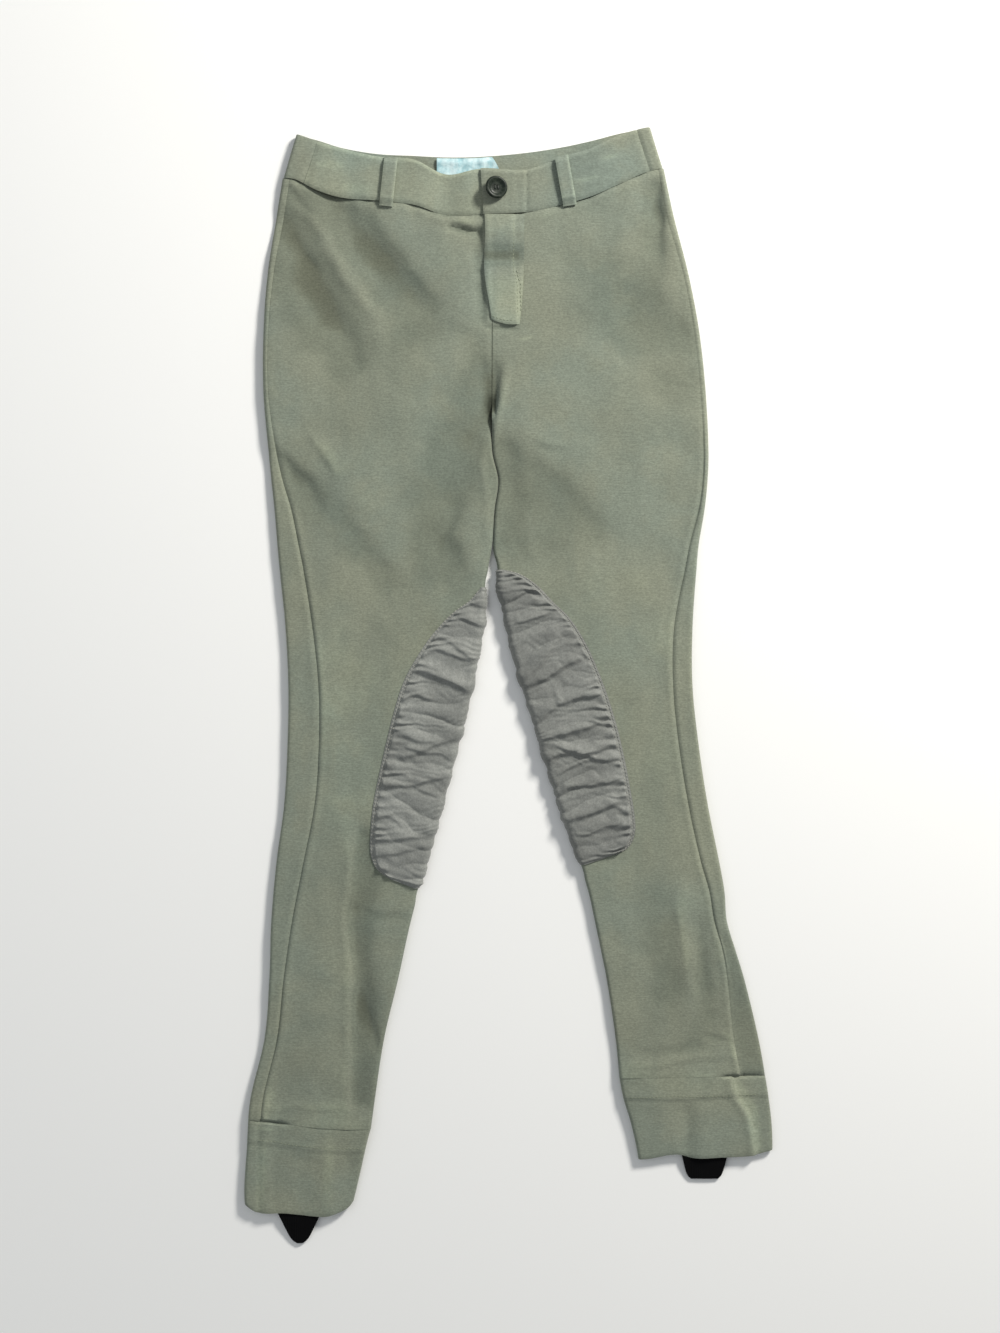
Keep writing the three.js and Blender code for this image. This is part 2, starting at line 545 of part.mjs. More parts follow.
// The back of the waistband lies underneath and turns over the front at both sides, as far as the side seams
function backBand() {
  const quarter = Math.PI / 2;
  const row = (share, depth) => {
    const at = (end) => lerp(BAND_ENDS[end].low, BAND_ENDS[end].high, share);
    const [west, east] = [at("leftOutline"), at("rightOutline")];
    const place = (x, z, face) => {
      const y = lerp(waistSeam[face](x) + SEAM_GAP, bandTop[face](x), share);
      return new THREE.Vector3(x, y, z);
    };
    const strip = (from, to) =>
      range(STRIP_COLUMNS).map((t) => place(lerp(from, to, t), BAND_TOP - depth, "front"));
    const turn = (edge, inwards, from, to) =>
      range(2 * ROLL_STEPS).slice(1).map((step) => {
        const angle = lerp(from, to, step);
        const x = edge + inwards * (EDGE_REACH - (EDGE_REACH - depth) * Math.cos(angle));
        return place(x, BAND_TOP / 2 + (BAND_TOP / 2 - depth) * Math.sin(angle), "front");
      });
    return [
      ...strip(at("leftSideSeam") - SEAM_GAP, west + EDGE_REACH),
      ...turn(west, 1, quarter, -quarter),
      ...range(BAND_COLUMNS)
        .slice(1)
        .map((t) => place(lerp(west + EDGE_REACH, east - EDGE_REACH, t), depth, "back")),
      ...turn(east, -1, -quarter, quarter),
      ...strip(east - EDGE_REACH, at("rightSideSeam") + SEAM_GAP).slice(1),
    ];
  };
  const grid = (depth) => range(BAND_ROWS).map((share) => row(share, depth));
  return wall(grid(0), grid(DOUBLED));
}

// A cuff is a flattened ring: across the top, round the outer edge, back underneath and round the inner edge
function cuff(leg) {
  const quarter = Math.PI / 2;
  const place = (line, share) => {
    let y = leg.cuffSeam(leg.cuffOuter(NEAR.cuff));
    let u = line(y);
    for (let pass = 0; pass < PASSES; pass += 1) {
      y = lerp(leg.cuffSeam(u) - SEAM_GAP, leg.hem(u), share);
      u = line(y);
    }
    return { u, y };
  };
  const row = (share, depth) => {
    const flat = (from, to, z) =>
      range(CUFF_COLUMNS).map((t) => {
        const line = (y) =>
          lerp(leg.cuffInner(y) + EDGE_REACH, leg.cuffOuter(y) - EDGE_REACH, lerp(from, to, t));
        return atHeight(leg, place(line, share), z);
      });
    const turn = (edge, inwards, from, to) =>
      range(2 * ROLL_STEPS).slice(1, -1).map((step) => {
        const angle = lerp(from, to, step);
        const point = place((y) => edge(y) + inwards * EDGE_REACH * (1 - Math.cos(angle)), share);
        point.u += inwards * depth * Math.cos(angle);
        return atHeight(leg, point, BAND_TOP / 2 + (BAND_TOP / 2 - depth) * Math.sin(angle));
      });
    return [
      ...flat(0, 1, BAND_TOP - depth),
      ...turn(leg.cuffOuter, -1, quarter, -quarter),
      ...flat(1, 0, depth),
      ...turn(leg.cuffInner, 1, -quarter, quarter),
    ];
  };
  const grid = (depth) => range(CUFF_ROWS).map((share) => row(share, depth));
  return wall(grid(0), grid(DOUBLED), true);
}

// A foot strap lies inside its cuff as a V and drops to the surface beyond the hem
function footStrap(strap) {
  const heightAt = (y) => (DOUBLED + GAP) * smoothstep(y, strap.tip, strap.hem);
  const arm = (side) =>
    range(SMALL_ROWS).map((t) => {
      const y = strap.tip + STRAP.length * t;
      const outside = strap.blunt / 2 + strap.lean * STRAP.length * t;
      const inside = Math.max(0, outside - STRAP.arm);
      return [outside, inside].map((u) => new THREE.Vector3(strap.x + side * u, y, heightAt(y) + STRAP.wall));
    });
  return { arm, heightAt };
}

// The strap's plate, row by row from the tip: one strip across until the arms part, and then two
function strapPlate(strap) {
  const { arm } = footStrap(strap);
  const [west, east] = [arm(-1), arm(1)];
  const parts = west.findIndex(([, inside]) => inside.x < strap.x);
  const lowRows = west.slice(0, parts).map((_, i) => [west[i][0], west[i][1], east[i][0]]);
  const points = [];
  const triangles = [];
  const add = (point) => points.push(point, point.clone().setZ(point.z - STRAP.wall)) - 2;
  const numbers = lowRows.map((row) => row.map(add));
  const arms = [west, east].map((rows, k) =>
    rows.slice(parts).map(([outside, inside]) => {
      const pair = k === 0 ? [outside, inside] : [inside, outside];
      return pair.map(add);
    }),
  );
  const quad = (a, b, c, d) => {
    triangles.push([a, b, c], [a, c, d]);
    triangles.push([a + 1, c + 1, b + 1], [a + 1, d + 1, c + 1]);
  };
  const rim = (a, b) => triangles.push([b, a, a + 1], [b, a + 1, b + 1]);
  for (let i = 0; i < numbers.length - 1; i += 1) {
    const [low, high] = [numbers[i], numbers[i + 1]];
    quad(low[0], low[1], high[1], high[0]);
    quad(low[1], low[2], high[2], high[1]);
    rim(high[0], low[0]);
    rim(low[2], high[2]);
  }
  rim(numbers[0][0], numbers[0][1]);
  rim(numbers[0][1], numbers[0][2]);
  const last = numbers[numbers.length - 1];
  arms.forEach((rows, k) => {
    const chain = [[last[k], last[k + 1]], ...rows];
    for (let i = 0; i < chain.length - 1; i += 1) {
      const [low, high] = [chain[i], chain[i + 1]];
      quad(low[0], low[1], high[1], high[0]);
      rim(high[0], low[0]);
      rim(low[1], high[1]);
    }
    const end = chain[chain.length - 1];
    rim(end[1], end[0]);
  });
  return outward(points, triangles);
}

// The fly placket lies on the front panels over the centre seam, and its free edge is on the left
function flyPlacket() {
  const outer = range(SMALL_ROWS).map((share) =>
    range(2).map((t) => {
      const west = lerp(PLACKET.left, PLACKET.leftLow, share ** 2);
      const east = lerp(PLACKET.right, PLACKET.rightLow, share ** 3);
      const x = lerp(west, east, t);
      const y = lerp(PLACKET.high, PLACKET.low - 4 * t, share);
      const leg = x < 0 ? left : right;
      return new THREE.Vector3(x, y, topHeight(leg, leg.side * x, y) + BED_GAP + PLACKET.wall);
    }),
  );
  const inner = outer.map((row) => row.map((point) => point.clone().setZ(point.z - PLACKET.wall)));
  return wall(outer, inner);
}

// A belt loop is a strip that lies on the band at both ends and stands a little off it between them
function beltLoop(loop) {
  const from = new THREE.Vector2(loop.x0, loop.y0);
  const to = new THREE.Vector2(loop.x1, loop.y1);
  const sideways = to.clone().sub(from).normalize().rotateAround(new THREE.Vector2(), Math.PI / 2);
  const length = from.distanceTo(to);
  const outer = range(SMALL_ROWS).map((share) => {
    const along = length * share;
    const fall = smoothstep(along, length - BELT_LOOP.end, length);
    const arch = smoothstep(along, 0, BELT_LOOP.end) * (1 - fall);
    return [-0.5, 0, 0.5].map((across) => {
      const place = from.clone().lerp(to, share).addScaledVector(sideways, across * BELT_LOOP.width);
      const z = BAND_TOP + GAP + BELT_LOOP.arch * arch + BELT_LOOP.wall;
      return new THREE.Vector3(place.x, place.y, z);
    });
  });
  const inner = outer.map((row) => row.map((point) => point.clone().setZ(point.z - BELT_LOOP.wall)));
  return wall(outer, inner);
}

// The label lies inside the back of the band, and its upper edge follows the band's
function label() {
  const top = DOUBLED + GAP + LABEL.wall;
  const outer = range(2).map((share) =>
    range(6).map((t) => {
      const x = lerp(LABEL.left, LABEL.right, t);
      return new THREE.Vector3(x, lerp(bandTop.back(x) - LABEL.drop, LABEL.low, share), top);
    }),
  );
  const inner = outer.map((row) => row.map((point) => point.clone().setZ(top - LABEL.wall)));
  return wall(outer, inner);
}

// A sewn-through button: a turned disc with a rim and a dished middle, pierced by four holes
function button(wasm) {
  const { radius, thickness } = BUTTON;
  const profile = [
    [0, 0],
    [radius * BUTTON.foot, 0],
    [radius * 0.94, thickness * 0.28],
    [radius, thickness * 0.6],
    [radius * 0.93, thickness * 0.92],
    [radius * 0.8, thickness],
    [radius * 0.62, thickness * 0.82],
    [radius * 0.5, thickness * 0.62],
    [0, thickness * 0.56],
  ];
  const disc = new THREE.LatheGeometry(profile.map(([r, h]) => new THREE.Vector2(r, h)), BUTTON.sides);
  const drill = new THREE.CylinderGeometry(BUTTON_HOLES.radius, BUTTON_HOLES.radius, 4 * thickness, 6);
  let solid = toManifold(wasm, disc);
  const fromMiddle = BUTTON_HOLES.spread / Math.SQRT2;
  for (const [a, b] of [[1, 1], [1, -1], [-1, 1], [-1, -1]]) {
    const hole = drill.clone().translate(a * fromMiddle, 0, b * fromMiddle);
    solid = solid.subtract(toManifold(wasm, hole));
  }
  return fromManifold(solid);
}

function toManifold(wasm, geometry) {
  const flat = geometry.index ? geometry.toNonIndexed() : geometry;
  const places = flat.getAttribute("position");
  const found = new Map();
  const points = [];
  const corners = [];
  for (let i = 0; i < places.count; i += 1) {
    const point = [places.getX(i), places.getY(i), places.getZ(i)];
    const key = point.map((value) => Math.round(value * 1e4)).join();
    if (!found.has(key)) {
      found.set(key, points.length / 3);
      points.push(...point);
    }
    corners.push(found.get(key));
  }
  const triVerts = [];
  for (let i = 0; i < corners.length; i += 3) {
    const [a, b, c] = corners.slice(i, i + 3);
    if (a !== b && b !== c && c !== a) triVerts.push(a, b, c);
  }
  const mesh = new wasm.Mesh({
    numProp: 3,
    vertProperties: new Float32Array(points),
    triVerts: new Uint32Array(triVerts),
  });
  return new wasm.Manifold(mesh);
}

function fromManifold(solid) {
  const mesh = solid.getMesh();
  const geometry = new THREE.BufferGeometry();
  geometry.setAttribute("position", new THREE.BufferAttribute(mesh.vertProperties, 3));
  geometry.setIndex([...mesh.triVerts]);
  geometry.computeVertexNormals();
  return geometry;
}

function finish(colour, roughness) {
  return new THREE.MeshStandardMaterial({ color: colour, roughness, metalness: 0 });
}

const part = new THREE.Group();

function add(name, geometry, material) {
  const mesh = new THREE.Mesh(geometry, material);
  mesh.name = name;
  part.add(mesh);
  return mesh;
}

const wasm = await Module();
wasm.setup();
const cloth = finish(CLOTH_COLOUR, 0.9);
const patchCloth = finish(PATCH_COLOUR, 0.8);
const elastic = finish(ELASTIC_COLOUR, 0.75);

for (const [where, leg, strap, loop] of [
  ["left", left, LEFT_STRAP, LEFT_LOOP],
  ["right", right, RIGHT_STRAP, RIGHT_LOOP],
]) {
  add(`front_${where}`, frontPanel(leg), cloth);
  add(`back_${where}`, backPanel(leg), cloth);
  add(`knee_patch_${where}`, kneePatch(leg), patchCloth);
  add(`cuff_${where}`, cuff(leg), cloth);
  add(`foot_strap_${where}`, strapPlate(strap), elastic);
  add(`belt_loop_${where}`, beltLoop(loop), cloth);
}
add("waistband_left", leftBand(), cloth);
add("waistband_right", rightBand(), cloth);
add("waistband_back", backBand(), cloth);
add("fly_placket", flyPlacket(), cloth);
add("label", label(), finish(LABEL_COLOUR, 0.5));

const sewn = add("button", button(wasm), finish(BUTTON_COLOUR, 0.25));
const tilt = degToRad(BUTTON.tilt);
const lift = BAND_TOP + TAB.lift + GAP + BUTTON.foot * BUTTON.radius * Math.sin(tilt);
sewn.rotation.set(Math.PI / 2, tilt, 0, "YXZ");
sewn.position.set(BUTTON.x, BUTTON.y, lift);

export default part;
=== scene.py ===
"""Riding jodhpurs laid flat on their back: the cloth, stitching, trims and studio.

Lengths in the tables are millimetres. The waist lies towards +Y, the hems towards -Y, the front faces +Z.
A leg's u is the distance from the middle of the width towards that leg's own side.
"""

import math

import bpy
import numpy as np
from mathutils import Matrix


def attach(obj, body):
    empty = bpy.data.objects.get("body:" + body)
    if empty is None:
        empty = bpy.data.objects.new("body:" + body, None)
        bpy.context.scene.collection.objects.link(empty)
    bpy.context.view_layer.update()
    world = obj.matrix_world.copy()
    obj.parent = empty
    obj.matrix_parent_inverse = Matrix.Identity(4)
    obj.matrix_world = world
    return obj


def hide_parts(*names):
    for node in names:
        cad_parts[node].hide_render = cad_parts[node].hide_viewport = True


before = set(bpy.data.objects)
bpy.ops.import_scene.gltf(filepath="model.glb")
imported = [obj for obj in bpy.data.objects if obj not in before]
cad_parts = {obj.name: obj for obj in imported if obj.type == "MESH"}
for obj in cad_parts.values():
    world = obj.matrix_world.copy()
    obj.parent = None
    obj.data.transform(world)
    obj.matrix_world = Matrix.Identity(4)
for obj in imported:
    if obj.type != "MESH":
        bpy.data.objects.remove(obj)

bl_info = {
    "name": "Riding Jodhpurs",
    "version": (1, 0, 0),
    "blender": (4, 5, 0),
    "location": "3D View > Sidebar > Jodhpurs",
    "description": "Builds a pair of riding jodhpurs laid flat, piece by piece",
    "category": "Add Mesh",
}

MM = 0.001
UP, DOWN = (0, 0, 1), (0, 0, -1)
EDGE_REACH = 3.0  # how far a rolled edge reaches in from the outline
EDGE_APART = 0.15  # front and back stop this short of each other, half way down a rolled inner edge
SEAM_GAP = 0.06  # each of two cloths stops this short of the seam between them
SEAM_CLOSED = 0.21  # how much nearer the two backs come where they are sewn together
CENTRE_SEAM = -13.8
LAYERS = 2.3  # two cloths and the least air between them
LOWEST = dict(front=2.1, band=4.3, cuff=3.2, label=2.9)
CROTCH = dict(joined=236, parted=206)
NEAR = dict(waist=432, knee=0, cuff=-360)
STRAP_LENGTH, STRAP_WIDTH = 72, 22
LOOP_WIDTH = 11.5
CUFF_STITCHES = 16  # how far they run below the cuff's seam


def table(columns, *rows):
    """Rows of values, named by the columns in their order. A row may leave out its last value."""
    return [dict(zip(columns.split(), row)) for row in rows]


# Outline of each leg: outer edge, width of the back that shows before the side seam, inner edge
LEFT_LEG = table(
    "y outer strip inner",
    (440, 191, 6.5, 14),
    (400, 197.6, 6.5, 14),
    (350, 205.3, 5.5, 14),
    (300, 208.7, 4.6, 14),
    (250, 208.7, 4.6, 14.2),
    (200, 204.4, 6.8, 13.8),
    (175, 202, 9.8, 8.6),
    (150, 199.3, 14.5, 11.8),
    (120, 196.8, 18.3, 13.8),
    (100, 195, 20.5, 17.2),
    (50, 190, 23.3, 21.7),
    (0, 187.5, 26, 31),
    (-50, 188.2, 27, 43),
    (-100, 191, 26.3, 56),
    (-150, 197.6, 23.3, 69.5),
    (-200, 202, 18, 83),
    (-250, 203.7, 12.5, 94),
    (-300, 207.8, 11, 105.8),
    (-350, 219.5, 11, 113.5),
    (-380, 222.5, 11, 117.5),
)
RIGHT_LEG = table(
    "y outer strip inner",
    (440, 132.2, 5, -13.6),
    (400, 140.7, 6, -13.6),
    (350, 153.4, 4.6, -13.6),
    (300, 162.8, 4.4, -13.6),
    (250, 168, 4.4, -13.8),
    (200, 170.4, 4.4, -13.4),
    (175, 169.6, 4.4, -8.2),
    (150, 167, 5.2, -11.4),
    (120, 162, 7.8, -13),
    (100, 160.2, 9.8, -10.6),
    (50, 156.8, 15.8, -1.3),
    (0, 156.8, 16.6, 12.3),
    (-50, 162, 17, 27.6),
    (-100, 169.6, 16.6, 43),
    (-150, 179.6, 15.7, 59.8),
    (-175, 184, 13, 68),
    (-200, 186, 10.8, 73.5),
    (-225, 193.4, 11.2, 78.7),
    (-250, 201, 14.5, 83.7),
    (-300, 213, 21, 91.2),
    (-340, 220, 20.4, 95),
)

# The waist from side to side: seams between legs and bands, and the upper edges of the bands
WAIST = table(
    "x seam back_seam front back",
    (-192, 432.2, 432.2, 471, 471),
    (-181, 430.5, 429.6, 469.5, 469.5),
    (-163, 421.5, 425, 463.4, 465),
    (-142, 415.2, 420.5, 457.3, 458.5),
    (-112, 412.6, 415.4, 450.4, 453.4),
    (-81, 409, 412.4, 447.6, 451.8),
    (-53, 400.4, 411.2, 435.4, 450.5),
    (-24, 401, 411.4, 440, 451),
    (15, 402.8, 414.2, 439.2, 454.4),
    (45, 409, 418.4, 449.8, 459),
    (71, 416.4, 423.6, 457.6, 464.6),
    (95, 427, 429.8, 468.8, 470.8),
    (119, 437.4, 437, 475, 475),
    (133, 440.5, 440.5, 475, 475),
)

# Knee patches: inner is where a row meets the leg's inner edge, u and y where it meets the sewn edge
LEFT_PATCH = table(
    "inner u y",
    (84, 24.6, 82.5),
    (77, 33, 72.4),
    (68, 46.4, 63),
    (56, 58, 51.5),
    (38, 71, 35),
    (10, 87, 8),
    (-20, 96.7, -20),
    (-60, 107, -62),
    (-100, 114.7, -100),
    (-125, 117.4, -126),
    (-143, 117.6, -141),
    (-157, 114.4, -152),
    (-166, 109, -158.6),
    (-172, 101.5, -163.5),
)
RIGHT_PATCH = table(
    "inner u y",
    (99, -4.5, 99),
    (93, 10, 95),
    (84, 24, 86),
    (72, 38, 71.5),
    (55, 53.4, 56),
    (30, 68, 32),
    (0, 81.3, 0),
    (-30, 91, -30),
    (-60, 98.3, -60),
    (-90, 104, -90),
    (-110, 107.2, -110),
    (-127, 107.8, -123),
    (-140, 104.6, -133.5),
    (-148, 99, -139.4),
    (-152, 92, -142.6),
)

# Cuffs: the outline from the leg's seam down to the hem, and both of those lines
LEFT_CUFF = table(
    "y outer inner",
    (-360, 221.6, 114.2),
    (-390, 222.6, 120.8),
    (-410, 224, 125.2),
    (-430, 225, 129.8),
    (-455, 223.6, 136),
)
RIGHT_CUFF = table(
    "y outer inner",
    (-325, 218, 93.2),
    (-350, 221.6, 97.6),
    (-370, 224, 103.6),
    (-390, 225, 108.4),
    (-405, 224.4, 111),
)
LEFT_CUFF_LINES = table(
    "u seam hem",
    (112, -376.6, -428),
    (128, -377, -434),
    (136, -377, -443.4),
    (146, -376.8, -448.6),
    (158, -376.2, -451.6),
    (190, -372.4, -448.6),
    (214, -369.4, -447.6),
    (226, -368.2, -440),
)
RIGHT_CUFF_LINES = table(
    "u seam hem",
    (92, -333.4, -403),
    (118, -333.4, -402.4),
    (142, -333, -398.4),
    (158, -332.6, -401.6),
    (182, -332, -401),
    (206, -331.6, -399.6),
    (226, -331.6, -394.8),
)

# A line between two ends, its half width, how far it rises or, below 0, sinks, and whether it is flipped
LINE = "x0 y0 x1 y1 width rise flip"

# Folds of the front
FOLDS = table(
    LINE,
    (-151, 413, -78, 325, 27, -3.4),
    (-189, 388, -136, 284, 20, -3.0),
    (-166, 398, -112, 308, 13, 1.9),
    (-23, 284, -20, 250, 13, -1.0),
    (-20, 205, -17, 130, 6, 0.8),
    (-24, 250, -62, 113, 22, -1.8),
    (-58, 122, -38, 98, 15, -1.2),
    (-5, 196, 4, 122, 15, -1.6),
    (9, 188, 66, 146, 27, -1.7),
    (131, 420, 126, 373, 8, -2.2),
    (126, 373, 119, 311, 15, -0.8),
    (84, 338, 152, 288, 30, -1.7),
    (-190, 192, -165, 156, 12, -2.1),
    (-152, 156, -110, 100, 16, -1.3),
    (-127, -128, -128, -350, 10, -2.3, True),
    (-124, -271, -112, -309, 7, -1.1),
    (131, -190, 136, -275, 15, -1.0),
    (142, -180, 154, -275, 9, 0.9),
    (161, -205, 168, -280, 12, -1.0),
)
CREASES = table(
    LINE,
    (-188, 427, -172, 408, 5, -1.0),
    (-184, 379, -160, 352, 6, -0.9),
    (-51, 389, -24, 387.5, 2.8, -2.2),
    (-49, 394, -25, 393, 4, 1.0),
    (-25, 398, -25, 356, 4.5, -1.4),
    (-24, 352, -18, 314, 4.5, -1.5),
    (-17, 367, 5, 367, 9, -1.5),
    (-14, 306, 8, 303.5, 2.2, -1.1),
    (-48, 309, -24, 300, 7, -0.35),
    (134, 424, 131, 388, 3.5, 0.9),
    (26, 209, 47, 204, 2.5, 0.5),
    (22, 205, 48, 199, 3.5, -0.3),
    (-165, 214, -150, 184, 6, 0.9),
    (-46, 154, -61, 115, 5, -0.7),
    (-137, -120, -139, -350, 6, 0.5),
    (-128, -190, -86, -198, 6, -0.7),
    (170, -297, 187, -303, 3, -0.6),
    (104, -322, 190, -316, 3.5, 0.55),
    (-124, -359, -205, -356, 3.5, 0.55),
    (110, -310, 160, -306, 6, -0.5),
)

# The longer creases of the knee patches, in the same columns
LEFT_PATCH_CREASES = table(
    LINE,
    (-57, 40, -30, 22, 2.2, -1.2),
    (-67, 29, -33, 21, 2.0, -1.0),
    (-84, 15, -36, -5, 2.4, -1.8),
    (-89, -6, -65, -12, 1.8, -1.1),
    (-101, -40, -65, -50, 2.2, -1.4),
    (-89, -63, -41, -45, 2.6, -1.9),
    (-84, -54, -48, -64, 2.0, -1.2),
    (-111, -74, -89, -77, 2.0, -1.3),
    (-109, -90, -54, -79, 2.0, -1.5),
    (-78, -86, -62, -96, 1.7, -0.9),
    (-112, -108, -92, -119, 1.9, -1.2),
    (-115, -134, -69, -128, 2.6, -1.6),
    (-107, -146, -73, -139, 2.4, -1.1),
    (-41, 56, -24, 49, 1.9, -1.2),
    (-36, 71, -20, 65, 1.9, -1.1),
)
RIGHT_PATCH_CREASES = table(
    LINE,
    (1, 70, 19, 79, 2.0, -0.9),
    (7, 53, 35, 58, 2.0, -0.9),
    (15, 6, 44, 39, 2.8, -1.6),
    (18, -3, 58, 21, 2.6, -1.9),
    (27, -30, 45, -14, 1.9, -1.2),
    (44, -15, 83, -9, 2.2, -1.6),
    (31, -48, 86, -29, 2.5, -1.8),
    (35, -63, 95, -54, 2.0, -1.3),
    (33, -52, 95, -68, 2.0, -1.2),
    (41, -77, 72, -62, 1.9, -1.1),
    (49, -90, 100, -80, 2.2, -1.5),
    (52, -117, 89, -102, 2.4, -1.7),
    (58, -128, 101, -117, 2.1, -1.3),
)

# Where the cloth of the hidden back lies off the table
BACK_FOLDS = table(
    LINE,
    (-120, 372, -52, 262, 17, 2.0),
    (118, 330, 32, 252, 19, 1.8),
    (-172, 330, -128, 226, 13, 1.4),
    (-92, 214, -36, 170, 10, 1.7),
    (96, 206, 18, 176, 11, 1.6),
    (-158, 24, -74, -2, 9, 1.3),
    (-160, -34, -84, -48, 8, 1.5),
    (50, 14, 128, 28, 9, 1.4),
    (66, -46, 140, -30, 8, 1.3),
    (-160, -160, -152, -330, 11, 1.5),
    (128, -150, 150, -300, 12, 1.4),
)

# Marks painted into the cloth's colour on the waistband, the fly, seams and cuffs: lighter streaks, which on
# crests and ridges are painted highlights, and, below 0, painted shade in deep folds
LIGHTER_AND_SHADED_MARKS = table(
    LINE,
    (-160, 443.6, -143, 442.4, 2.2, 1),
    (-138, 424, -120, 422.4, 2.4, 1),
    (79, 448, 93, 451, 2.2, 1),
    (57, 428.6, 77, 433, 2.4, 1),
    (9, 294.6, 20, 296.8, 1.5, 1.2),
    (-14, 244, -14, 228, 4.6, -1.5),
    (-13.8, 304, -14, 262, 0.9, -0.6),
    (-22, 272, -17, 258, 8, -0.5),
    (-4.4, 264, -9.4, 240, 1.3, 0.8),
    (184, -294, 195, -317, 2.6, 0.9),
    (194.6, -340, 207.4, -362, 4.6, 1.2),
    (207.4, -362, 211, -394, 4.6, 1.2),
    (-213, -375.5, -201, -377, 1.6, 1),
    (-208, -388, -211, -444, 4.5, 0.8),
    (-152, -385, -155, -445, 6, 0.6),
    (-147, -362, -145, -358, 12, 0.6),
    (-203, -350, -202, -346, 8, 0.6),
    (110, -341, 188, -337, 10, 0.4),
    (-150, 62, -142, -90, 30, 0.34),
    (124, 90, 134, -80, 26, 0.24),
)
LIGHT = (0.64, 0.77)  # the way in the plan to the light, which the steep side of a trough turns away from

# Depth of the seam above each cuff: an open slit beside the side seam, and all but flush elsewhere
SLITS = dict(
    left=table("u depth", (112, 0.2), (138, 0.2), (150, 0.5), (165, 0.12), (183, 0.2), (193, 2.2),
               (208, 2.4), (214, 0.7), (226, 0.4)),
    right=table("u depth", (92, 0.12), (120, 0.2), (150, 0.1), (178, 0.2), (186, 1.9), (200, 2.2),
                (212, 1.5), (226, 0.5)),
)

# Foot straps: the tip, the hem above it, how its outer edge leans away, and the width and rounding of its tip
LEFT_STRAP = dict(x=-178, tip=-475, hem=-449, lean=0.47, blunt=5, round=3.5)
RIGHT_STRAP = dict(x=167, tip=-420, hem=-400, lean=0.24, blunt=23, round=3)

# Belt loops: both ends of the line along the middle
LEFT_LOOP = dict(x0=-99.6, y0=449, x1=-104, y1=407.6)
RIGHT_LOOP = dict(x0=44.8, y0=450.4, x1=52.3, y1=408)


def length(name, default, description):
    """A length in metres that the panel shows."""
    return bpy.props.FloatProperty(name=name, default=default, description=description, unit="LENGTH")


def colour(name, default, description):
    """A colour that the panel shows."""
    return bpy.props.FloatVectorProperty(name=name, default=default, description=description,
                                         subtype="COLOR", size=3)


class Sizes(bpy.types.PropertyGroup):
    cloth: length("Cloth", 0.001, "Thickness of the leg panels")
    doubled: length("Doubled cloth", 0.0019, "Thickness of the waistband and cuffs")
    trim: length("Folded strip", 0.0013, "Thickness of the placket and belt loops")
    patch: length("Patch cloth", 0.0007, "Thickness of the knee patches")
    elastic: length("Elastic", 0.0016, "Thickness of the foot straps")
    label: length("Label", 0.0004, "Thickness of the label")
    front_top: length("Front height", 0.0065, "Upper face of the front panels")
    band_top: length("Band height", 0.007, "Upper face of the waistband and cuffs")
    fold_strength: bpy.props.FloatProperty(name="Fold strength", default=1.5,
                                           description="Height of the folds against the table")
    gather: length("Gathers", 0.0019, "Height of the gathers in the knee patches")
    gathers: bpy.props.IntProperty(name="Number of gathers", default=31,
                                   description="Gathers along a patch's sewn edge")
    stitch: length("Stitch", 0.0031, "Length of a stitch with its gap")
    thread: length("Thread", 0.00045, "Thickness of the sewing thread")
    heavy_thread: length("Heavy thread", 0.0007, "Thickness of the thread in the patches and the bar tack")
    button: length("Button", 0.0096, "Radius of the button")
    button_thickness: length("Button thickness", 0.0032, "Thickness of the button")


class Colours(bpy.types.PropertyGroup):
    cloth: colour("Cloth", (0.212, 0.241, 0.194), "Sage side of the main cloth")
    faded: colour("Faded cloth", (0.228, 0.243, 0.185), "Khaki side of the main cloth")
    patch: colour("Patch", (0.193, 0.2, 0.188), "Knee patches")
    elastic: colour("Elastic", (0.0016, 0.0016, 0.002), "Foot straps")
    label: colour("Label", (0.3, 0.5, 0.55), "Satin label")
    washed_label: colour("Washed label", (0.58, 0.73, 0.76), "Where the label has washed pale")
    button: colour("Button", (0.01, 0.015, 0.011), "Button")
    button_swirl: colour("Button swirl", (0.03, 0.038, 0.028), "Paler swirl in the button")
    cloth_thread: colour("Cloth thread", (0.27, 0.3, 0.21), "Stitches of the main cloth")
    patch_thread: colour("Patch thread", (0.29, 0.29, 0.26), "Stitches of the knee patches")
    dark_thread: colour("Dark thread", (0.03, 0.035, 0.03), "Thread of the button")
    floor: colour("Floor", (0.9, 0.9, 0.9), "Surface below the garment")


def sizes():
    """The sizes in the panel."""
    return bpy.context.scene.jodhpur_sizes


def colours():
    """The colours in the panel."""
    return bpy.context.scene.jodhpur_colours


# Curves through the tables

def curve(rows, key, column):
    """A smooth curve through one column of a table, read at values of its key column."""
    rows = sorted(rows, key=lambda row: row[key])
    at = np.array([row[key] for row in rows], float)
    value = np.array([row[column] for row in rows], float)
    before = np.maximum(np.arange(len(rows)) - 1, 0)
    after = np.minimum(np.arange(len(rows)) + 1, len(rows) - 1)
    slope = (value[after] - value[before]) / (at[after] - at[before])

    def read(places):
        place = np.clip(np.asarray(places, float), at[0], at[-1])
        i = np.clip(np.searchsorted(at, place) - 1, 0, len(rows) - 2)
        span = at[i + 1] - at[i]
        t = (place - at[i]) / span
        start = (1 + 2 * t) * (1 - t) ** 2 * value[i] + t * (1 - t) ** 2 * span * slope[i]
        end = t * t * (3 - 2 * t) * value[i + 1] + t * t * (t - 1) * span * slope[i + 1]
        return start + end

    return read


def ease(x, low, high):
    """From 0 at low to 1 at high, level at both ends."""
    t = np.clip((np.asarray(x, float) - low) / (high - low), 0, 1)
    return t * t * (3 - 2 * t)


def mix(a, b, t):
    """From a at 0 to b at 1."""
    return a + (b - a) * t


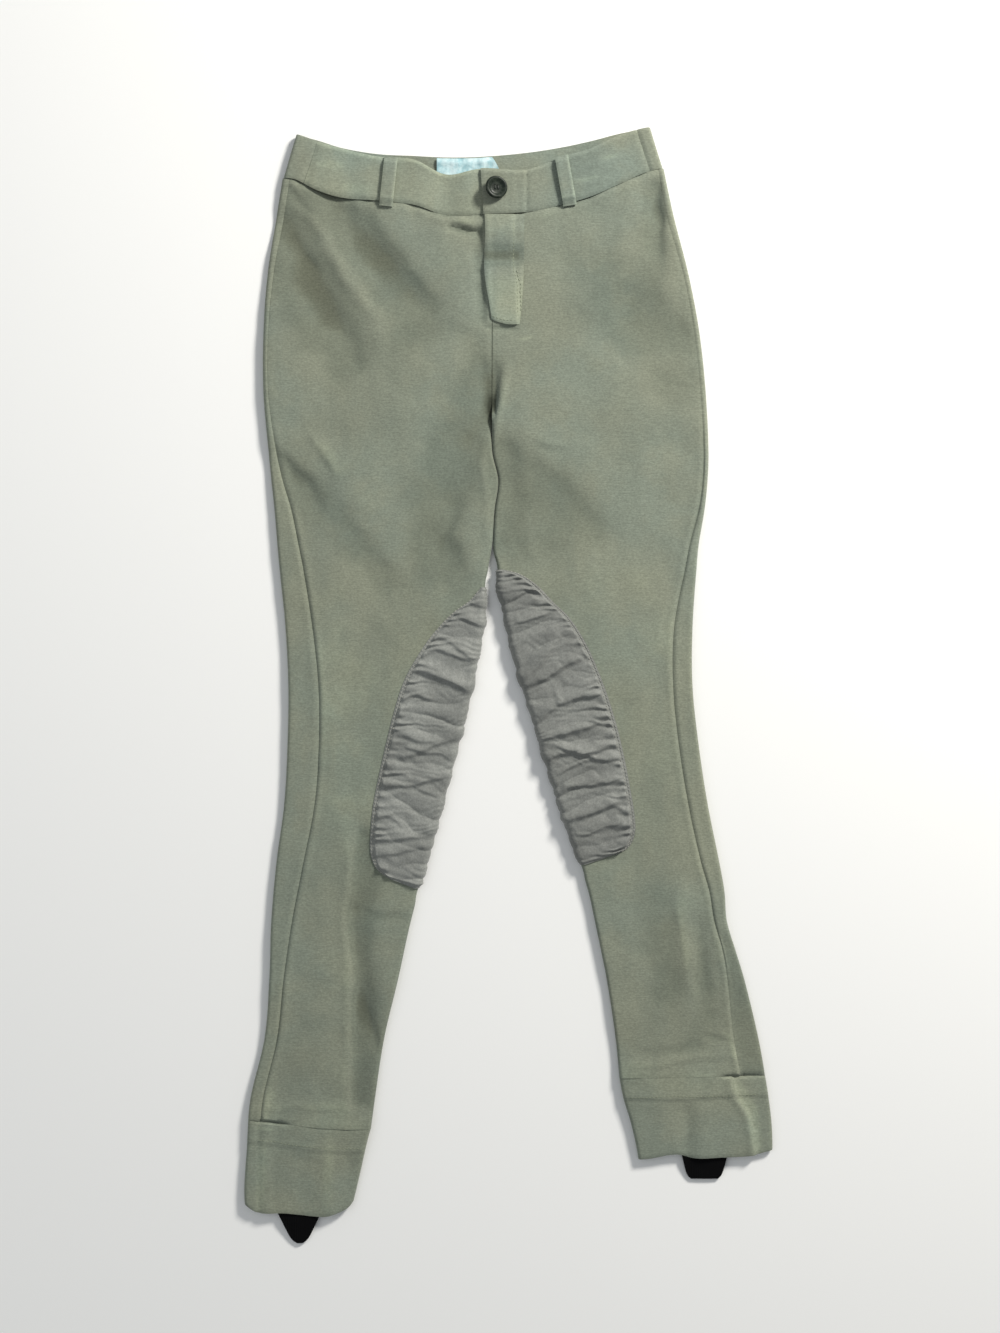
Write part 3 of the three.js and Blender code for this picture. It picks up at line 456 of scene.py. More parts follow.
def bump(distance, width):
    """1 where the distance is 0, falling away on both sides over the width."""
    return np.exp(-(np.asarray(distance) / width) ** 2)


def at_least(value, least, soft):
    """The value, held up softly so that it stays over the least."""
    return least + soft * np.logaddexp(0, (value - least) / soft)


def shares(count):
    """So many even steps from 0 to 1, with both ends."""
    return np.linspace(0, 1, count)


def grid(rows, columns):
    """Places of a grid's points, as shares of its rows and of its columns."""
    return np.meshgrid(shares(rows), shares(columns), indexing="ij")


def placed(x, y, z):
    """Rows and columns of points."""
    return np.stack([x, y, z], axis=2)


WAIST_SEAM = curve(WAIST, "x", "seam")
BACK_SEAM = curve(WAIST, "x", "back_seam")
FRONT_TOP = curve(WAIST, "x", "front")
BACK_TOP = curve(WAIST, "x", "back")


class Leg:
    """One leg's curves. Its side is -1 for the left leg and 1 for the right one."""

    def __init__(self, name, side, outline, patch, cuff, lines, seed):
        self.name, self.side, self.patch, self.seed = name, side, patch, seed
        self.outer = curve(outline, "y", "outer")
        self.strip = curve(outline, "y", "strip")
        self.bare_inner = curve(outline, "y", "inner")
        self.cuff_outer = curve(cuff, "y", "outer")
        self.cuff_inner = curve(cuff, "y", "inner")
        self.cuff_seam = curve(lines, "u", "seam")
        self.hem = curve(lines, "u", "hem")
        self.seam_out = float(self.cuff_seam(self.cuff_outer(NEAR["cuff"])))
        self.seam_in = float(self.cuff_seam(self.cuff_inner(NEAR["cuff"])))
        self.patch_high, self.patch_low = patch[0]["inner"], patch[-1]["inner"]
        self.creases = LEFT_PATCH_CREASES if side < 0 else RIGHT_PATCH_CREASES
        self.slit = curve(SLITS[name], "u", "depth")

    def cuff_edges(self, y):
        """Inner and outer outline of the cuff, which start where the leg's end."""
        outwards = self.outer(self.seam_out) - self.cuff_outer(self.seam_out)
        inwards = self.bare_inner(self.seam_in) - self.cuff_inner(self.seam_in)
        outer = self.cuff_outer(y) + outwards * np.exp(-np.clip(self.seam_out - y, 0, None) / 9)
        return self.cuff_inner(y) + inwards * np.exp(-np.clip(self.seam_in - y, 0, None) / 9), outer

    def inner(self, y):
        """The inner edge, which steps in a little where the patch is wrapped round it."""
        below = ease(y, self.patch_low - 16, self.patch_low - 4)
        above = 1 - ease(y, self.patch_high + 4, self.patch_high + 16)
        return self.bare_inner(y) + 1.3 * below * above


LEFT = Leg("left", -1, LEFT_LEG, LEFT_PATCH, LEFT_CUFF, LEFT_CUFF_LINES, 11)
RIGHT = Leg("right", 1, RIGHT_LEG, RIGHT_PATCH, RIGHT_CUFF, RIGHT_CUFF_LINES, 29)
LEGS = (LEFT, RIGHT)


def drift(x, y, size, seed):
    """Smooth unevenness from about -1 to 1, whose features are as wide as size."""
    rng = np.random.RandomState(seed)
    order = rng.permutation(256)
    turn = rng.uniform(0, 2 * math.pi, 256)
    px, py = np.asarray(x, float) / size + 57.3, np.asarray(y, float) / size + 31.7
    ix, iy = np.floor(px).astype(int), np.floor(py).astype(int)
    fx, fy = px - ix, py - iy

    def corner(dx, dy):
        angle = turn[order[(order[(ix + dx) % 256] + iy + dy) % 256]]
        return np.cos(angle) * (fx - dx) + np.sin(angle) * (fy - dy)

    sx, sy = fx ** 3 * (fx * (fx * 6 - 15) + 10), fy ** 3 * (fy * (fy * 6 - 15) + 10)
    low = mix(corner(0, 0), corner(1, 0), sx)
    high = mix(corner(0, 1), corner(1, 1), sx)
    return 1.5 * mix(low, high, sy)


def uneven(x, y, seed, *layers):
    """Layers of drift, each with its size and how much of it there is."""
    return sum(much * drift(x, y, size, seed + i) for i, (size, much) in enumerate(layers))


def fold(row, x, y, steep=0.62, easy=1.35):
    """A fold's height from 0 to 1: it fades towards both ends, and its side away from the light is steep.

    A row marked flip has its steep side towards the light.
    """
    along = np.array([row["x1"] - row["x0"], row["y1"] - row["y0"]], float)
    length = np.hypot(*along)
    along = along / length
    dx, dy = x - row["x0"], y - row["y0"]
    t = (dx * along[0] + dy * along[1]) / length
    beyond = np.maximum(np.maximum(-t, t - 1), 0) * length
    side = -dx * along[1] + dy * along[0]
    towards = -LIGHT[0] * along[1] + LIGHT[1] * along[0]
    side = side if (towards > 0) != row.get("flip", False) else -side
    width = np.where(side * row["rise"] < 0, steep, easy) * row["width"]
    faded = 0.62 + 0.38 * np.sin(math.pi * np.clip(t, 0, 1))
    return faded * bump(side, width) * bump(beyond, row["width"] * 1.1)


def folded(rows, x, y, steep=0.62, easy=1.35):
    """How far a table's folds rise and sink together."""
    return sum(row["rise"] * fold(row, x, y, steep, easy) for row in rows)


def front_height(leg, u, y):
    """Upper face of the cloth that faces up, in millimetres."""
    x = leg.side * u
    wx = x + uneven(x, y, leg.seed, (62, 5), (19, 1.8))
    wy = y + uneven(x, y, leg.seed + 2, (55, 5), (17, 1.8))
    strength = sizes().fold_strength * (1 + 0.25 * drift(x, y, 31, leg.seed + 7))
    height = sizes().front_top / MM + strength * folded(FOLDS, wx, wy) + 1.25 * folded(CREASES, wx, wy)
    height += uneven(x, y, leg.seed + 4, (74, 0.6), (31, 0.5), (12, 0.17))
    height += at_side_seam(leg, u, y) + at_waist(leg, x, y) + at_cuff(leg, u, y) + at_centre(leg, x, y)
    return at_least(height, LOWEST["front"], 0.5)


def at_side_seam(leg, u, y):
    """The welt and groove of the side seam, fainter at the hips, and the step at the right one's notch."""
    from_seam = u - leg.outer(y) + leg.strip(y)
    welt = 0.4 * bump(from_seam + 3.6, 2.4) + 0.25 * bump(from_seam - 3.4, 2.2) - 1.1 * bump(from_seam, 0.9)
    height = (1 - 0.82 * ease(y, 150, 260)) * welt
    if leg.side > 0:
        height -= 2.0 * ease(from_seam, 0.3, 2.6) * (1 - ease(y, -222, -204))
    return height


def at_waist(leg, x, y):
    """The groove of the waistband's seam, and the puckers that hang from it."""
    below = WAIST_SEAM(x) - y
    pucker = uneven(x, 0 * x, leg.seed + 8, (10, 1), (23, 0.6)) * np.exp(-np.clip(below, 0, None) / 13)
    return 0.3 * bump(below - 5, 3) - bump(below, 2.2) + 0.55 * pucker


def at_cuff(leg, u, y):
    """The rise towards the cuff's height, and the slit above it."""
    above = y - leg.cuff_seam(u)
    rise = (sizes().band_top - sizes().front_top) / MM + 0.25
    return rise * bump(np.maximum(above - 2, 0), 12) - leg.slit(u) * bump(above, 0.9)


def at_centre(leg, x, y):
    """The seam between the two fronts, down to where they part, and the dark fold in it."""
    middle = np.abs(x - CENTRE_SEAM)
    seam = 0.3 * bump(middle - 4.5, 2.4) - 0.9 * bump(middle, 1.4)
    return (1 - crotch_roll(y)) * seam - centre_dip(leg, middle, y) * ease(y, 196, 226)


def centre_dip(leg, middle, y):
    """Depth of the dark fold at the centre seam: the right front drops from a crest, and the left slopes."""
    reach = np.interp(y, [222, 243, 262, 285, 300], [1.2, 6.5, 9.5, 12.5, 14])
    depth = 4.2 * bump(y - 241, 26)
    if leg.side > 0:
        return depth * (1 - ease(middle, 0.35 * reach, reach)) - 0.25 * depth * bump(middle - reach - 2, 3)
    return depth * np.exp(-((middle / 6.5) ** 1.5))


# Rows of a leg, and the columns that cross it

def row_height(leg, share, u, seam):
    """The y of a place on a row, which bends to the waist's seam above and to the cuff's below."""
    high = seam(leg.side * leg.outer(NEAR["waist"]))
    low = leg.cuff_seam(leg.cuff_outer(NEAR["cuff"]))
    bend_high = 1 - ease(share, 0, 0.24)
    bend_low = ease(share, 0.85, 1)
    y = mix(high, low, share) + bend_high * (seam(leg.side * u) - high - SEAM_GAP)
    return y + bend_low * (leg.cuff_seam(u) - low + SEAM_GAP)


def on_row(leg, share, line, seam=WAIST_SEAM):
    """Where rows of the leg meet a line that runs down it, given as its u at each y."""
    u = np.full(np.shape(share), float(leg.outer(NEAR["knee"])))
    for _ in range(6):
        y = row_height(leg, share, u, seam)
        u = line(y)
    return u, y


def crotch_roll(y):
    """0 where the legs are sewn together, 1 below, where each has a rolled inner edge."""
    return 1 - ease(y, CROTCH["parted"], CROTCH["joined"])


def roll(share, step):
    """Places of a rolled edge: how far in they are, and how far down as a share of its height."""
    turn = np.maximum(share, 1e-3) * (math.pi / 2)
    inwards = EDGE_REACH * (math.pi / 2) * (np.sin(turn) - np.sin(turn * step)) / turn
    down = (math.pi / 2) * (1 - np.cos(turn * step)) / turn
    return inwards, down


def across_and_over(columns, more):
    """Columns that cross a piece, from 0 to 1, and then more that go down its rolled edge, from 0 to 1."""
    across = np.concatenate([shares(columns), np.ones(more)])[None, :]
    return across, np.concatenate([np.zeros(columns), shares(more + 1)[1:]])[None, :]


def strips(*counts):
    """Columns that go round a piece in strips: each column's strip, and its place there from 0 to 1."""
    strip = np.repeat(np.arange(len(counts)), counts)[None, :]
    places = [shares(counts[0]), *(shares(count + 1)[1:] for count in counts[1:])]
    return strip, np.concatenate(places)[None, :]


def chosen(strip, *values):
    """The first value in the first strip, the second in the second, and so on."""
    return np.select([strip == i for i in range(len(values))], list(values))


def turned(outline, t, way=1):
    """The edge that turns round an outline: way is 1 where the piece lies below it, and -1 where above."""
    return outline - way * EDGE_REACH * (1 - np.sin(math.pi * t))


def falling(top, t):
    """The height of an edge that turns, from the top at 0 down to the table at 1."""
    return top / 2 * (1 + np.cos(math.pi * t))


# Making a piece of cloth

def clear_selection():
    """Selects nothing, in object mode."""
    if bpy.context.object and bpy.context.object.mode != "OBJECT":
        bpy.ops.object.mode_set(mode="OBJECT")
    bpy.ops.object.select_all(action="DESELECT")


def pick(piece):
    """Selects one piece and makes it the active one."""
    clear_selection()
    piece.select_set(True)
    bpy.context.view_layer.objects.active = piece


def remove(piece):
    """Deletes one piece."""
    pick(piece)
    bpy.ops.object.delete()


def settle():
    """Works the selected piece's place, turn and size into its points."""
    bpy.ops.object.transform_apply(location=True, rotation=True, scale=True)


def grid_piece(name, points, thickness, facing, weld=False, at=0.5, relief=None):
    """A grid laid along rows and columns of points (millimetres), then thickened away from its face.

    The face looks along facing, where at gives the place to look at as a share of the columns. Painted
    shading is how far the cloth stands up (1) or sinks (-1), plus painted marks, which its colour follows as
    painted shade and highlight.
    """
    points = np.asarray(points, float)
    rows, columns = points.shape[:2]
    clear_selection()
    bpy.ops.mesh.primitive_grid_add(x_subdivisions=columns - 1, y_subdivisions=rows - 1, size=1)
    piece = bpy.context.object
    piece.name = name
    if len(piece.data.vertices) != rows * columns:
        raise RuntimeError(f"{name}: the grid has {len(piece.data.vertices)} points")
    flat = np.zeros(rows * columns * 3, np.float32)
    piece.data.vertices.foreach_get("co", flat)
    start = flat.reshape(-1, 3)
    column = np.rint((start[:, 0] + 0.5) * (columns - 1)).astype(int)
    row = np.rint((start[:, 1] + 0.5) * (rows - 1)).astype(int)
    piece.data.vertices.foreach_set("co", (points[row, column] * MM).astype(np.float32).ravel())
    lay_cloth_map(piece, points, row, column)
    if relief is not None:
        layer = piece.data.attributes.new("relief", "FLOAT", "POINT")
        layer.data.foreach_set("value", np.clip(relief[row, column], -3, 1).astype(np.float32))
    piece.data.update()
    middle = piece.data.polygons[(rows - 1) // 2 * (columns - 1) + int((columns - 1) * at)]
    if middle.normal.dot(facing) < 0:
        run_in_edit(piece, bpy.ops.mesh.flip_normals)
    if weld:
        run_in_edit(piece, lambda: bpy.ops.mesh.remove_doubles(threshold=1e-6))
    shell = piece.modifiers.new("thickness", "SOLIDIFY")
    shell.thickness = thickness
    shell.offset = -1
    bpy.ops.object.modifier_apply(modifier=shell.name)
    smooth(piece, 45)
    return piece


def lay_cloth_map(piece, points, row, column):
    """UV in metres along the cloth, so that its grain follows the piece."""
    across = np.linalg.norm(np.diff(points, axis=1), axis=2).cumsum(axis=1)
    across = np.concatenate([np.zeros((len(points), 1)), across], axis=1)
    across = across + points[:, :1, 0]
    place = np.stack([across, points[:, :, 1]], axis=2) * MM
    corners = np.zeros(len(piece.data.loops), int)
    piece.data.loops.foreach_get("vertex_index", corners)
    layer = piece.data.uv_layers[0]
    layer.data.foreach_set("uv", place[row[corners], column[corners]].astype(np.float32).ravel())


def run_in_edit(piece, action):
    """Runs an action on all of a piece in edit mode."""
    bpy.context.view_layer.objects.active = piece
    bpy.ops.object.mode_set(mode="EDIT")
    bpy.ops.mesh.select_all(action="SELECT")
    action()
    bpy.ops.object.mode_set(mode="OBJECT")


def smooth(piece, degrees):
    """Shades a piece smooth but for its edges sharper than the angle."""
    pick(piece)
    bpy.ops.object.shade_smooth_by_angle(angle=math.radians(degrees))


def finish_piece(piece, material, node=None):
    """Gives a piece its material, puts it under the root body, and hides the part that it replaces."""
    piece.data.materials.clear()
    piece.data.materials.append(material)
    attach(piece, "root")
    if node:
        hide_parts(node)


# Shapes

def front_points(leg, rows=340, columns=80):
    """The front panel from the side seam to the inner edge, which rolls down below the crotch."""
    across, step = across_and_over(columns, 6)
    share, _ = grid(rows, across.size)

    def line(y):
        seam = leg.outer(y) - leg.strip(y) - SEAM_GAP
        inwards, _ = roll(crotch_roll(y), step)
        start, _ = roll(crotch_roll(y), 0 * step)
        return np.where(step > 0, leg.inner(y) + inwards, mix(seam, leg.inner(y) + start, across))

    u, y = on_row(leg, share, line)
    edge = front_height(leg, np.maximum(u, leg.inner(y) + EDGE_REACH), y)
    _, down = roll(crotch_roll(y), step)
    z = np.where(step > 0, edge - down * (edge / 2 - EDGE_APART), front_height(leg, u, y))
    return placed(leg.side * u, y, z)


def stands(points):
    """How far each place of a front stands over (1) or under (-1) its level, for its painted shade and
    highlight to follow.
    """
    return (points[:, :, 2] - sizes().front_top / MM) / 2.3


def back_points(leg, rows=300, under=36):
    """The back panel: from the side seam out, round the outer edge, across underneath, up the inner edge."""
    strip, t = strips(9, 9, under, 6)
    share, _ = grid(rows, strip.size)

    def line(y):
        outer, inner = leg.outer(y), leg.inner(y) - SEAM_CLOSED * (1 - crotch_roll(y))
        start, _ = roll(crotch_roll(y), 0 * t)
        inwards, _ = roll(crotch_roll(y), t)
        return chosen(strip, mix(outer - leg.strip(y) + SEAM_GAP, outer - EDGE_REACH, t), turned(outer, t),
                      mix(outer - EDGE_REACH, inner + start, t), inner + inwards)

    u, y = on_row(leg, share, line)
    under_u, under_y = on_row(leg, share, line, BACK_SEAM)
    u, y = np.where(strip >= 2, under_u, u), np.where(strip >= 2, under_y, y)
    high = front_height(leg, np.clip(u, leg.inner(y) + EDGE_REACH, leg.outer(y) - EDGE_REACH), y)
    lift = np.minimum(underside(leg.side * u, y, t), np.maximum(high - LAYERS, 0))
    _, down = roll(crotch_roll(y), t)
    z = chosen(strip, high, falling(high, t), lift, down * (high / 2 - EDGE_APART))
    return placed(leg.side * u, y, z)


def underside(x, y, t):
    """How far the hidden side lies off the table: 0 but for soft folds."""
    wx, wy = x + 6 * drift(x, y, 50, 61), y + 6 * drift(x, y, 44, 62)
    lift = uneven(x, y, 63, (40, 0.5), (17, 0.25)) + folded(BACK_FOLDS, wx, wy)
    return np.maximum(lift, 0) * np.sin(math.pi * t) ** 0.5


def patch_points(leg, rows=400, columns=88):
    """The gathered patch from its sewn edge to the leg's inner edge and down round it."""
    places = [dict(row, share=i / (len(leg.patch) - 1)) for i, row in enumerate(leg.patch)]
    read = [curve(places, "share", column) for column in ("inner", "u", "y")]
    many = shares(600)
    inner, sewn_u, sewn_y = (column(many) for column in read)
    steps = np.hypot(np.diff(sewn_u), np.diff(sewn_y)) + 0.35 * np.abs(np.diff(inner))
    reached = np.concatenate([[0], np.cumsum(steps)])
    along = np.interp(shares(rows) * reached[-1], reached, many)
    across, step = across_and_over(columns, 7)
    share, _ = grid(rows, across.size)
    inner, sewn_u, sewn_y = (column(along[:, None] + 0 * share) for column in read)
    end = leg.inner(inner)
    inwards, down = roll(np.ones_like(share), step)
    u = np.where(step > 0, end + inwards, mix(sewn_u, end + EDGE_REACH, across))
    y = mix(sewn_y, inner, across)
    x = leg.side * u
    high = front_height(leg, np.maximum(u, end + EDGE_REACH), y)
    lift = patch_lift(leg, x, y, share, np.hypot(u - sewn_u, y - sewn_y), np.abs(u - end))
    z = high - down * (high / 2 - EDGE_APART)
    turn = step * math.pi / 2
    return placed(x - leg.side * np.sin(turn) * lift, y, z + np.cos(turn) * lift)


def patch_lift(leg, x, y, share, from_sewn, from_inner):
    """How far the patch's face stands off the front: puffs, sharp creases, and gathers at the stitching."""
    lean = math.radians(-10 if leg.side < 0 else 17) + 0.25 * drift(x, y, 70, leg.seed + 21)
    wx = x + 2.6 * drift(x, y, 24, leg.seed + 22)
    wy = y + 2.4 * drift(x, y, 21, leg.seed + 23) + 0.8 * drift(x, y, 8, leg.seed + 28)
    along = wx * np.cos(lean) + wy * np.sin(lean)
    across = -wx * np.sin(lean) + wy * np.cos(lean)
    wide = np.abs(drift(along * 0.26, across, 17, leg.seed + 24))
    fine = np.abs(drift(along * 0.42, across, 9.5, leg.seed + 25))
    some = ease(drift(x, y, 33, leg.seed + 29), -0.5, 0.6)
    ridges = [dict(row, y0=row["y0"] + 2.8, y1=row["y1"] + 2.8, width=row["width"] * 1.3, rise=-row["rise"])
              for row in leg.creases]
    body = 0.25 + 1.15 * wide ** 0.85 + 0.34 * some * fine
    body += 0.2 * folded(leg.creases, wx, wy, 0.8, 1.2) + 0.68 * folded(ridges, wx, wy, 0.95, 2.4)
    spot = share * 900  # far enough apart along the edge for what changes from gather to gather
    phase = share * sizes().gathers + 0.55 * drift(spot, 0 * spot, 45, leg.seed + 26)
    phase += 0.05 * from_sewn * drift(x, y, 30, leg.seed + 32)
    wave = np.cos(2 * math.pi * (phase + 0.2 * drift(x, y, 9, leg.seed + 30)))
    strength = 0.75 + 0.6 * drift(spot, 0 * spot, 24, leg.seed + 27)
    reach = np.maximum(11 + 8 * drift(spot, 0 * spot, 22, leg.seed + 31), 4)
    near = bump(from_sewn, reach) + 0.04 * bump(from_inner, 7)
    gathered = strength * (0.5 + 0.5 * wave) ** 1.2
    body = mix(body, 0.35 * body + 1.15 * gathered, np.clip(1.15 * near, 0, 1))
    body -= 0.12 * np.exp(-np.maximum(from_sewn - 2.6, 0) / 9)
    from_ends = np.minimum(share, 1 - share) * 250
    held = ease(from_sewn, 2.0, 5.5) * ease(from_ends, 0.6, 5.5)
    edge = 0.45 + 0.6 * ease(from_sewn, 0, 2.2) - 0.4 * bump(from_sewn - 2.6, 0.7)
    edge += 0.14 * strength * wave * ease(from_sewn, 0.2, 2)
    tall = 1 if leg.side < 0 else 1.3  # its gathers lie nearer the way to the light, and stand taller
    lift = edge + held * (0.35 + tall * sizes().gather / MM * body)
    return at_least(lift, 0.45 + 0.27 * ease(from_sewn, 0, 2.5), 0.12)


BAND_ROWS = 22
BAND_ENDS = dict(
    left_outline=(-191.5, -180.5), left_seam=(-174, -162.3), under_tab=(-9, -9),
    tab=(-21.3, -23.7), right_seam=(120.5, 109), right_outline=(131.4, 120.6))


def front_band(start, end, columns, seed, size):
    """Upper face of a front band between two ends, a little uneven and rounded at its long edges."""
    share, t = grid(BAND_ROWS, columns)
    x = mix(mix(start[0], start[1], share), mix(end[0], end[1], share), t)
    low, high = WAIST_SEAM(x) + SEAM_GAP, FRONT_TOP(x)
    y = mix(low, high, share)
    z = sizes().band_top / MM + uneven(x, y, seed, (size, 0.28), (13, 0.12))
    z += 0.25 * bump(high - y - 3, 2) - 0.9 * bump(y - low, 1.4) - bump(high - y, 1.3)
    return x, y, z


def left_band_points():
    """The left front of the waistband, from its side seam to its end under the tab."""
    start = tuple(x + SEAM_GAP for x in BAND_ENDS["left_seam"])
    x, y, z = front_band(start, BAND_ENDS["under_tab"], 90, 3, 38)
    z -= 0.9 * ease(x, -36, -25)
    z += 0.9 * bump(x + 76, 11) - 2.1 * bump(x + 52, 12) - 0.5 * bump(x + 132, 9)
    z -= 0.7 * bump(x - mix(-173.8, -162.1, (y - 421) / 42), 1.8)
    return placed(x, y, np.maximum(z, LOWEST["band"]))


def right_band_points():
    """The right front of the waistband, from the tab with its fold and stitches to the side seam."""
    end = tuple(x - SEAM_GAP for x in BAND_ENDS["right_seam"])
    x, y, z = front_band(BAND_ENDS["tab"], end, 84, 7, 40)
    z += 1.4 * (1 - ease(x, -6, 24))
    z += 0.25 * bump(x - 12, 2.5) - 0.8 * bump(x - 15.4, 1.1) - 0.3 * bump(x - 0.2, 0.9)
    z += 0.5 * bump(x - 75, 16) - 0.7 * bump(x - 33, 9)
    z -= 0.9 * bump(x + 22.5 + 2.4 * (y - 402) / 38, 1.3)
    z -= 0.7 * bump(x - mix(120.3, 108.8, (y - 437) / 36), 1.8)
    return placed(x, y, np.maximum(z, LOWEST["band"]))


def back_band_points():
    """The back of the waistband: under the front, and over it at both sides as far as the side seams."""
    strip, t = strips(7, 9, 80, 9, 7)
    share, _ = grid(BAND_ROWS, strip.size)
    at = {name: mix(ends[0], ends[1], share) for name, ends in BAND_ENDS.items()}
    west, east = at["left_outline"], at["right_outline"]
    west_seam, east_seam = at["left_seam"] - SEAM_GAP, at["right_seam"] + SEAM_GAP
    x = chosen(strip, mix(west_seam, west + EDGE_REACH, t), turned(west, t, -1),
               mix(west + EDGE_REACH, east - EDGE_REACH, t),
               turned(east, t), mix(east - EDGE_REACH, east_seam, t))
    low = np.where(strip == 2, BACK_SEAM(x), WAIST_SEAM(x)) + SEAM_GAP
    high = np.where(strip == 2, BACK_TOP(x), FRONT_TOP(x))
    y = mix(low, high, share)
    top = sizes().band_top / MM - 0.6 * bump(y - low, 1.4) - 0.7 * bump(high - y, 1.4)
    top += 0.25 * drift(x, y, 17, 5) - 0.9 * bump(x - west_seam, 1.6) - 0.9 * bump(x - east_seam, 1.6)
    return placed(x, y, chosen(strip, top, falling(top, t), 0 * x, falling(top, 1 - t), top))


def cuff_points(leg, rows=40, flat=46):
    """A cuff as a flattened ring: across the top, round the outer edge, underneath, round the inner edge."""
    strip, t = strips(flat, 9, flat, 9)
    share, _ = grid(rows, strip.size)
    u = np.full(share.shape, float(leg.cuff_outer(NEAR["cuff"])))
    for _ in range(6):
        y = mix(leg.cuff_seam(u) - SEAM_GAP, leg.hem(u), share)
        inner, outer = leg.cuff_edges(y)
        u = chosen(strip, mix(inner + EDGE_REACH, outer - EDGE_REACH, t), turned(outer, t),
                   mix(outer - EDGE_REACH, inner + EDGE_REACH, t), turned(inner, t, -1))
    top = cuff_height(leg, u, y)
    points = placed(leg.side * u, y, chosen(strip, top, falling(top, t), 0 * u, falling(top, 1 - t)))
    points[:, -1] = points[:, 0]
    return points


def cuff_height(leg, u, y):
    """Upper face of a cuff: a step where the turned hem ends, and each cuff's own ridge and dents."""
    x = leg.side * u
    low, high = y - leg.hem(u), leg.cuff_seam(u) - y
    hem = 19 + 2.5 * drift(x, 0 * x, 60, leg.seed + 33)
    lower = ease(high, hem, hem + 12)
    top = sizes().band_top / MM + uneven(x, y, leg.seed + 31, (34, 0.3), (12, 0.14))
    top -= leg.slit(u) * bump(high, 0.9) + 0.7 * bump(low, 1.4) + 0.5 * ease(high, hem - 1.5, hem + 1.5)
    top += 0.2 * bump(high - hem + 3, 3) - 0.3 * bump(high - hem - 0.8, 1)
    if leg.side > 0:
        ridge = x - np.interp(-y, [333, 350, 363, 380, 400], [190, 194, 203, 208, 210])
        top += 0.9 * bump(ridge + 3, 3) - 1.9 * ease(ridge, 0, 3) - 0.5 * bump(ridge - 1.8, 1.2)
        top += lower * (0.7 * bump(x - 166, 9) - 1.5 * bump(x - 152, 6) - 0.5 * bump(x - 118, 9))
    else:
        top += 0.8 * bump(x + 205, 5) - 0.9 * bump(x + 212.5, 1.4)
        top += lower * (0.9 * bump(x + 152, 6) - 1.1 * bump(x + 172, 14) - 1.2 * ease(x, -144, -132))
    return at_least(top, LOWEST["cuff"], 0.5)


def strap_points(strap, side):
    """One arm of a foot strap, from the fold at the tip up into the cuff."""
    t, across = grid(rows=34, columns=12)
    up = STRAP_LENGTH * t
    y = strap["tip"] + up
    outside = strap["blunt"] / 2 + strap["lean"] * up + strap["round"] * (1 - np.exp(-up / 2.2))
    x = strap["x"] + side * mix(outside, np.maximum(0, outside - STRAP_WIDTH), across)
    z = 1.75 + 2.3 * ease(y, strap["tip"], strap["hem"])
    z += 0.12 * np.sin(across * math.pi) + 0.5 * bump(up - 3, 5) * across
    return placed(x, y, z)


def placket_points(rows=64, columns=22):
    """The placket from the waist's seam down: its left edge is free, and its right side is sewn down."""
    share, t = grid(rows, columns)
    west = mix(-21, -15.5, share ** 2) + 1.1 * np.sin(share * 7.5 + 0.6)
    east = mix(13.6, 9.5, share ** 3)
    x = mix(west, east, t)
    y = mix(401, 311.5 - 4 * t - 1.8 * np.sin(math.pi * t), share)
    front = np.where(x < CENTRE_SEAM, front_height(LEFT, -x, y), front_height(RIGHT, x, y))
    free = 1 - ease(x - west, 0, 9)
    z = mix(front, sizes().front_top / MM, 0.75) + 1.7
    z += 0.9 * bump(y - 388, 8) + 0.5 * bump(y - 343, 15) - (1.8 - free) * bump(y - 369, 9)
    z -= 1.1 * ease(x - stitch_east(y), -0.5, 1.5) + 0.5 * bump(x - stitch_east(y), 0.9)
    z -= 0.6 * ease(x - east, -3, 0) + 0.5 * bump(x - west, 0.8) + 0.7 * bump(share * 90 - 90, 1.2)
    return placed(x, y, np.maximum(z + 0.18 * drift(x, y, 16, 71), front + 0.35))


def stitch_east(y):
    """The x of the long row of stitches down the placket."""
    return np.interp(-np.asarray(y), [-400, -356, -344, -312], [4.3, 4.3, 7.6, 8.2])


def loop_points(loop):
    """A belt loop, sewn down at both ends and arched between them."""
    share, t = grid(rows=44, columns=14)
    t = t - 0.5
    start, end = np.array([loop["x0"], loop["y0"]]), np.array([loop["x1"], loop["y1"]])
    along = (end - start) / np.linalg.norm(end - start)
    x = mix(start[0], end[0], share) - along[1] * t * LOOP_WIDTH
    y = mix(start[1], end[1], share) + along[0] * t * LOOP_WIDTH
    arch = ease(share, 0, 0.13) * (1 - ease(share, 0.87, 1))
    z = sizes().band_top / MM + 1.6 + 1.5 * arch - 0.6 * bump(np.abs(t) - 0.5, 0.09) + 0.2 * np.abs(t)
    return placed(x, y, z + 0.15 * drift(x, y, 9, 55))


def label_points():
    """The label, which hangs inside the back of the waistband, crumpled."""
    share, t = grid(rows=26, columns=60)
    x = mix(-61, -6 - 8 * (1 - share) ** 2, t)
    y = mix(BACK_TOP(x) - 1.2, 429, share)
    z = 3.4 + 0.55 * drift(x, y, 7.5, 91) + 0.3 * drift(x, y * 0.4, 4, 92)
    return placed(x, y, np.maximum(z + 0.8 * bump(y - BACK_TOP(x) + 5, 3), LOWEST["label"]))


# Materials

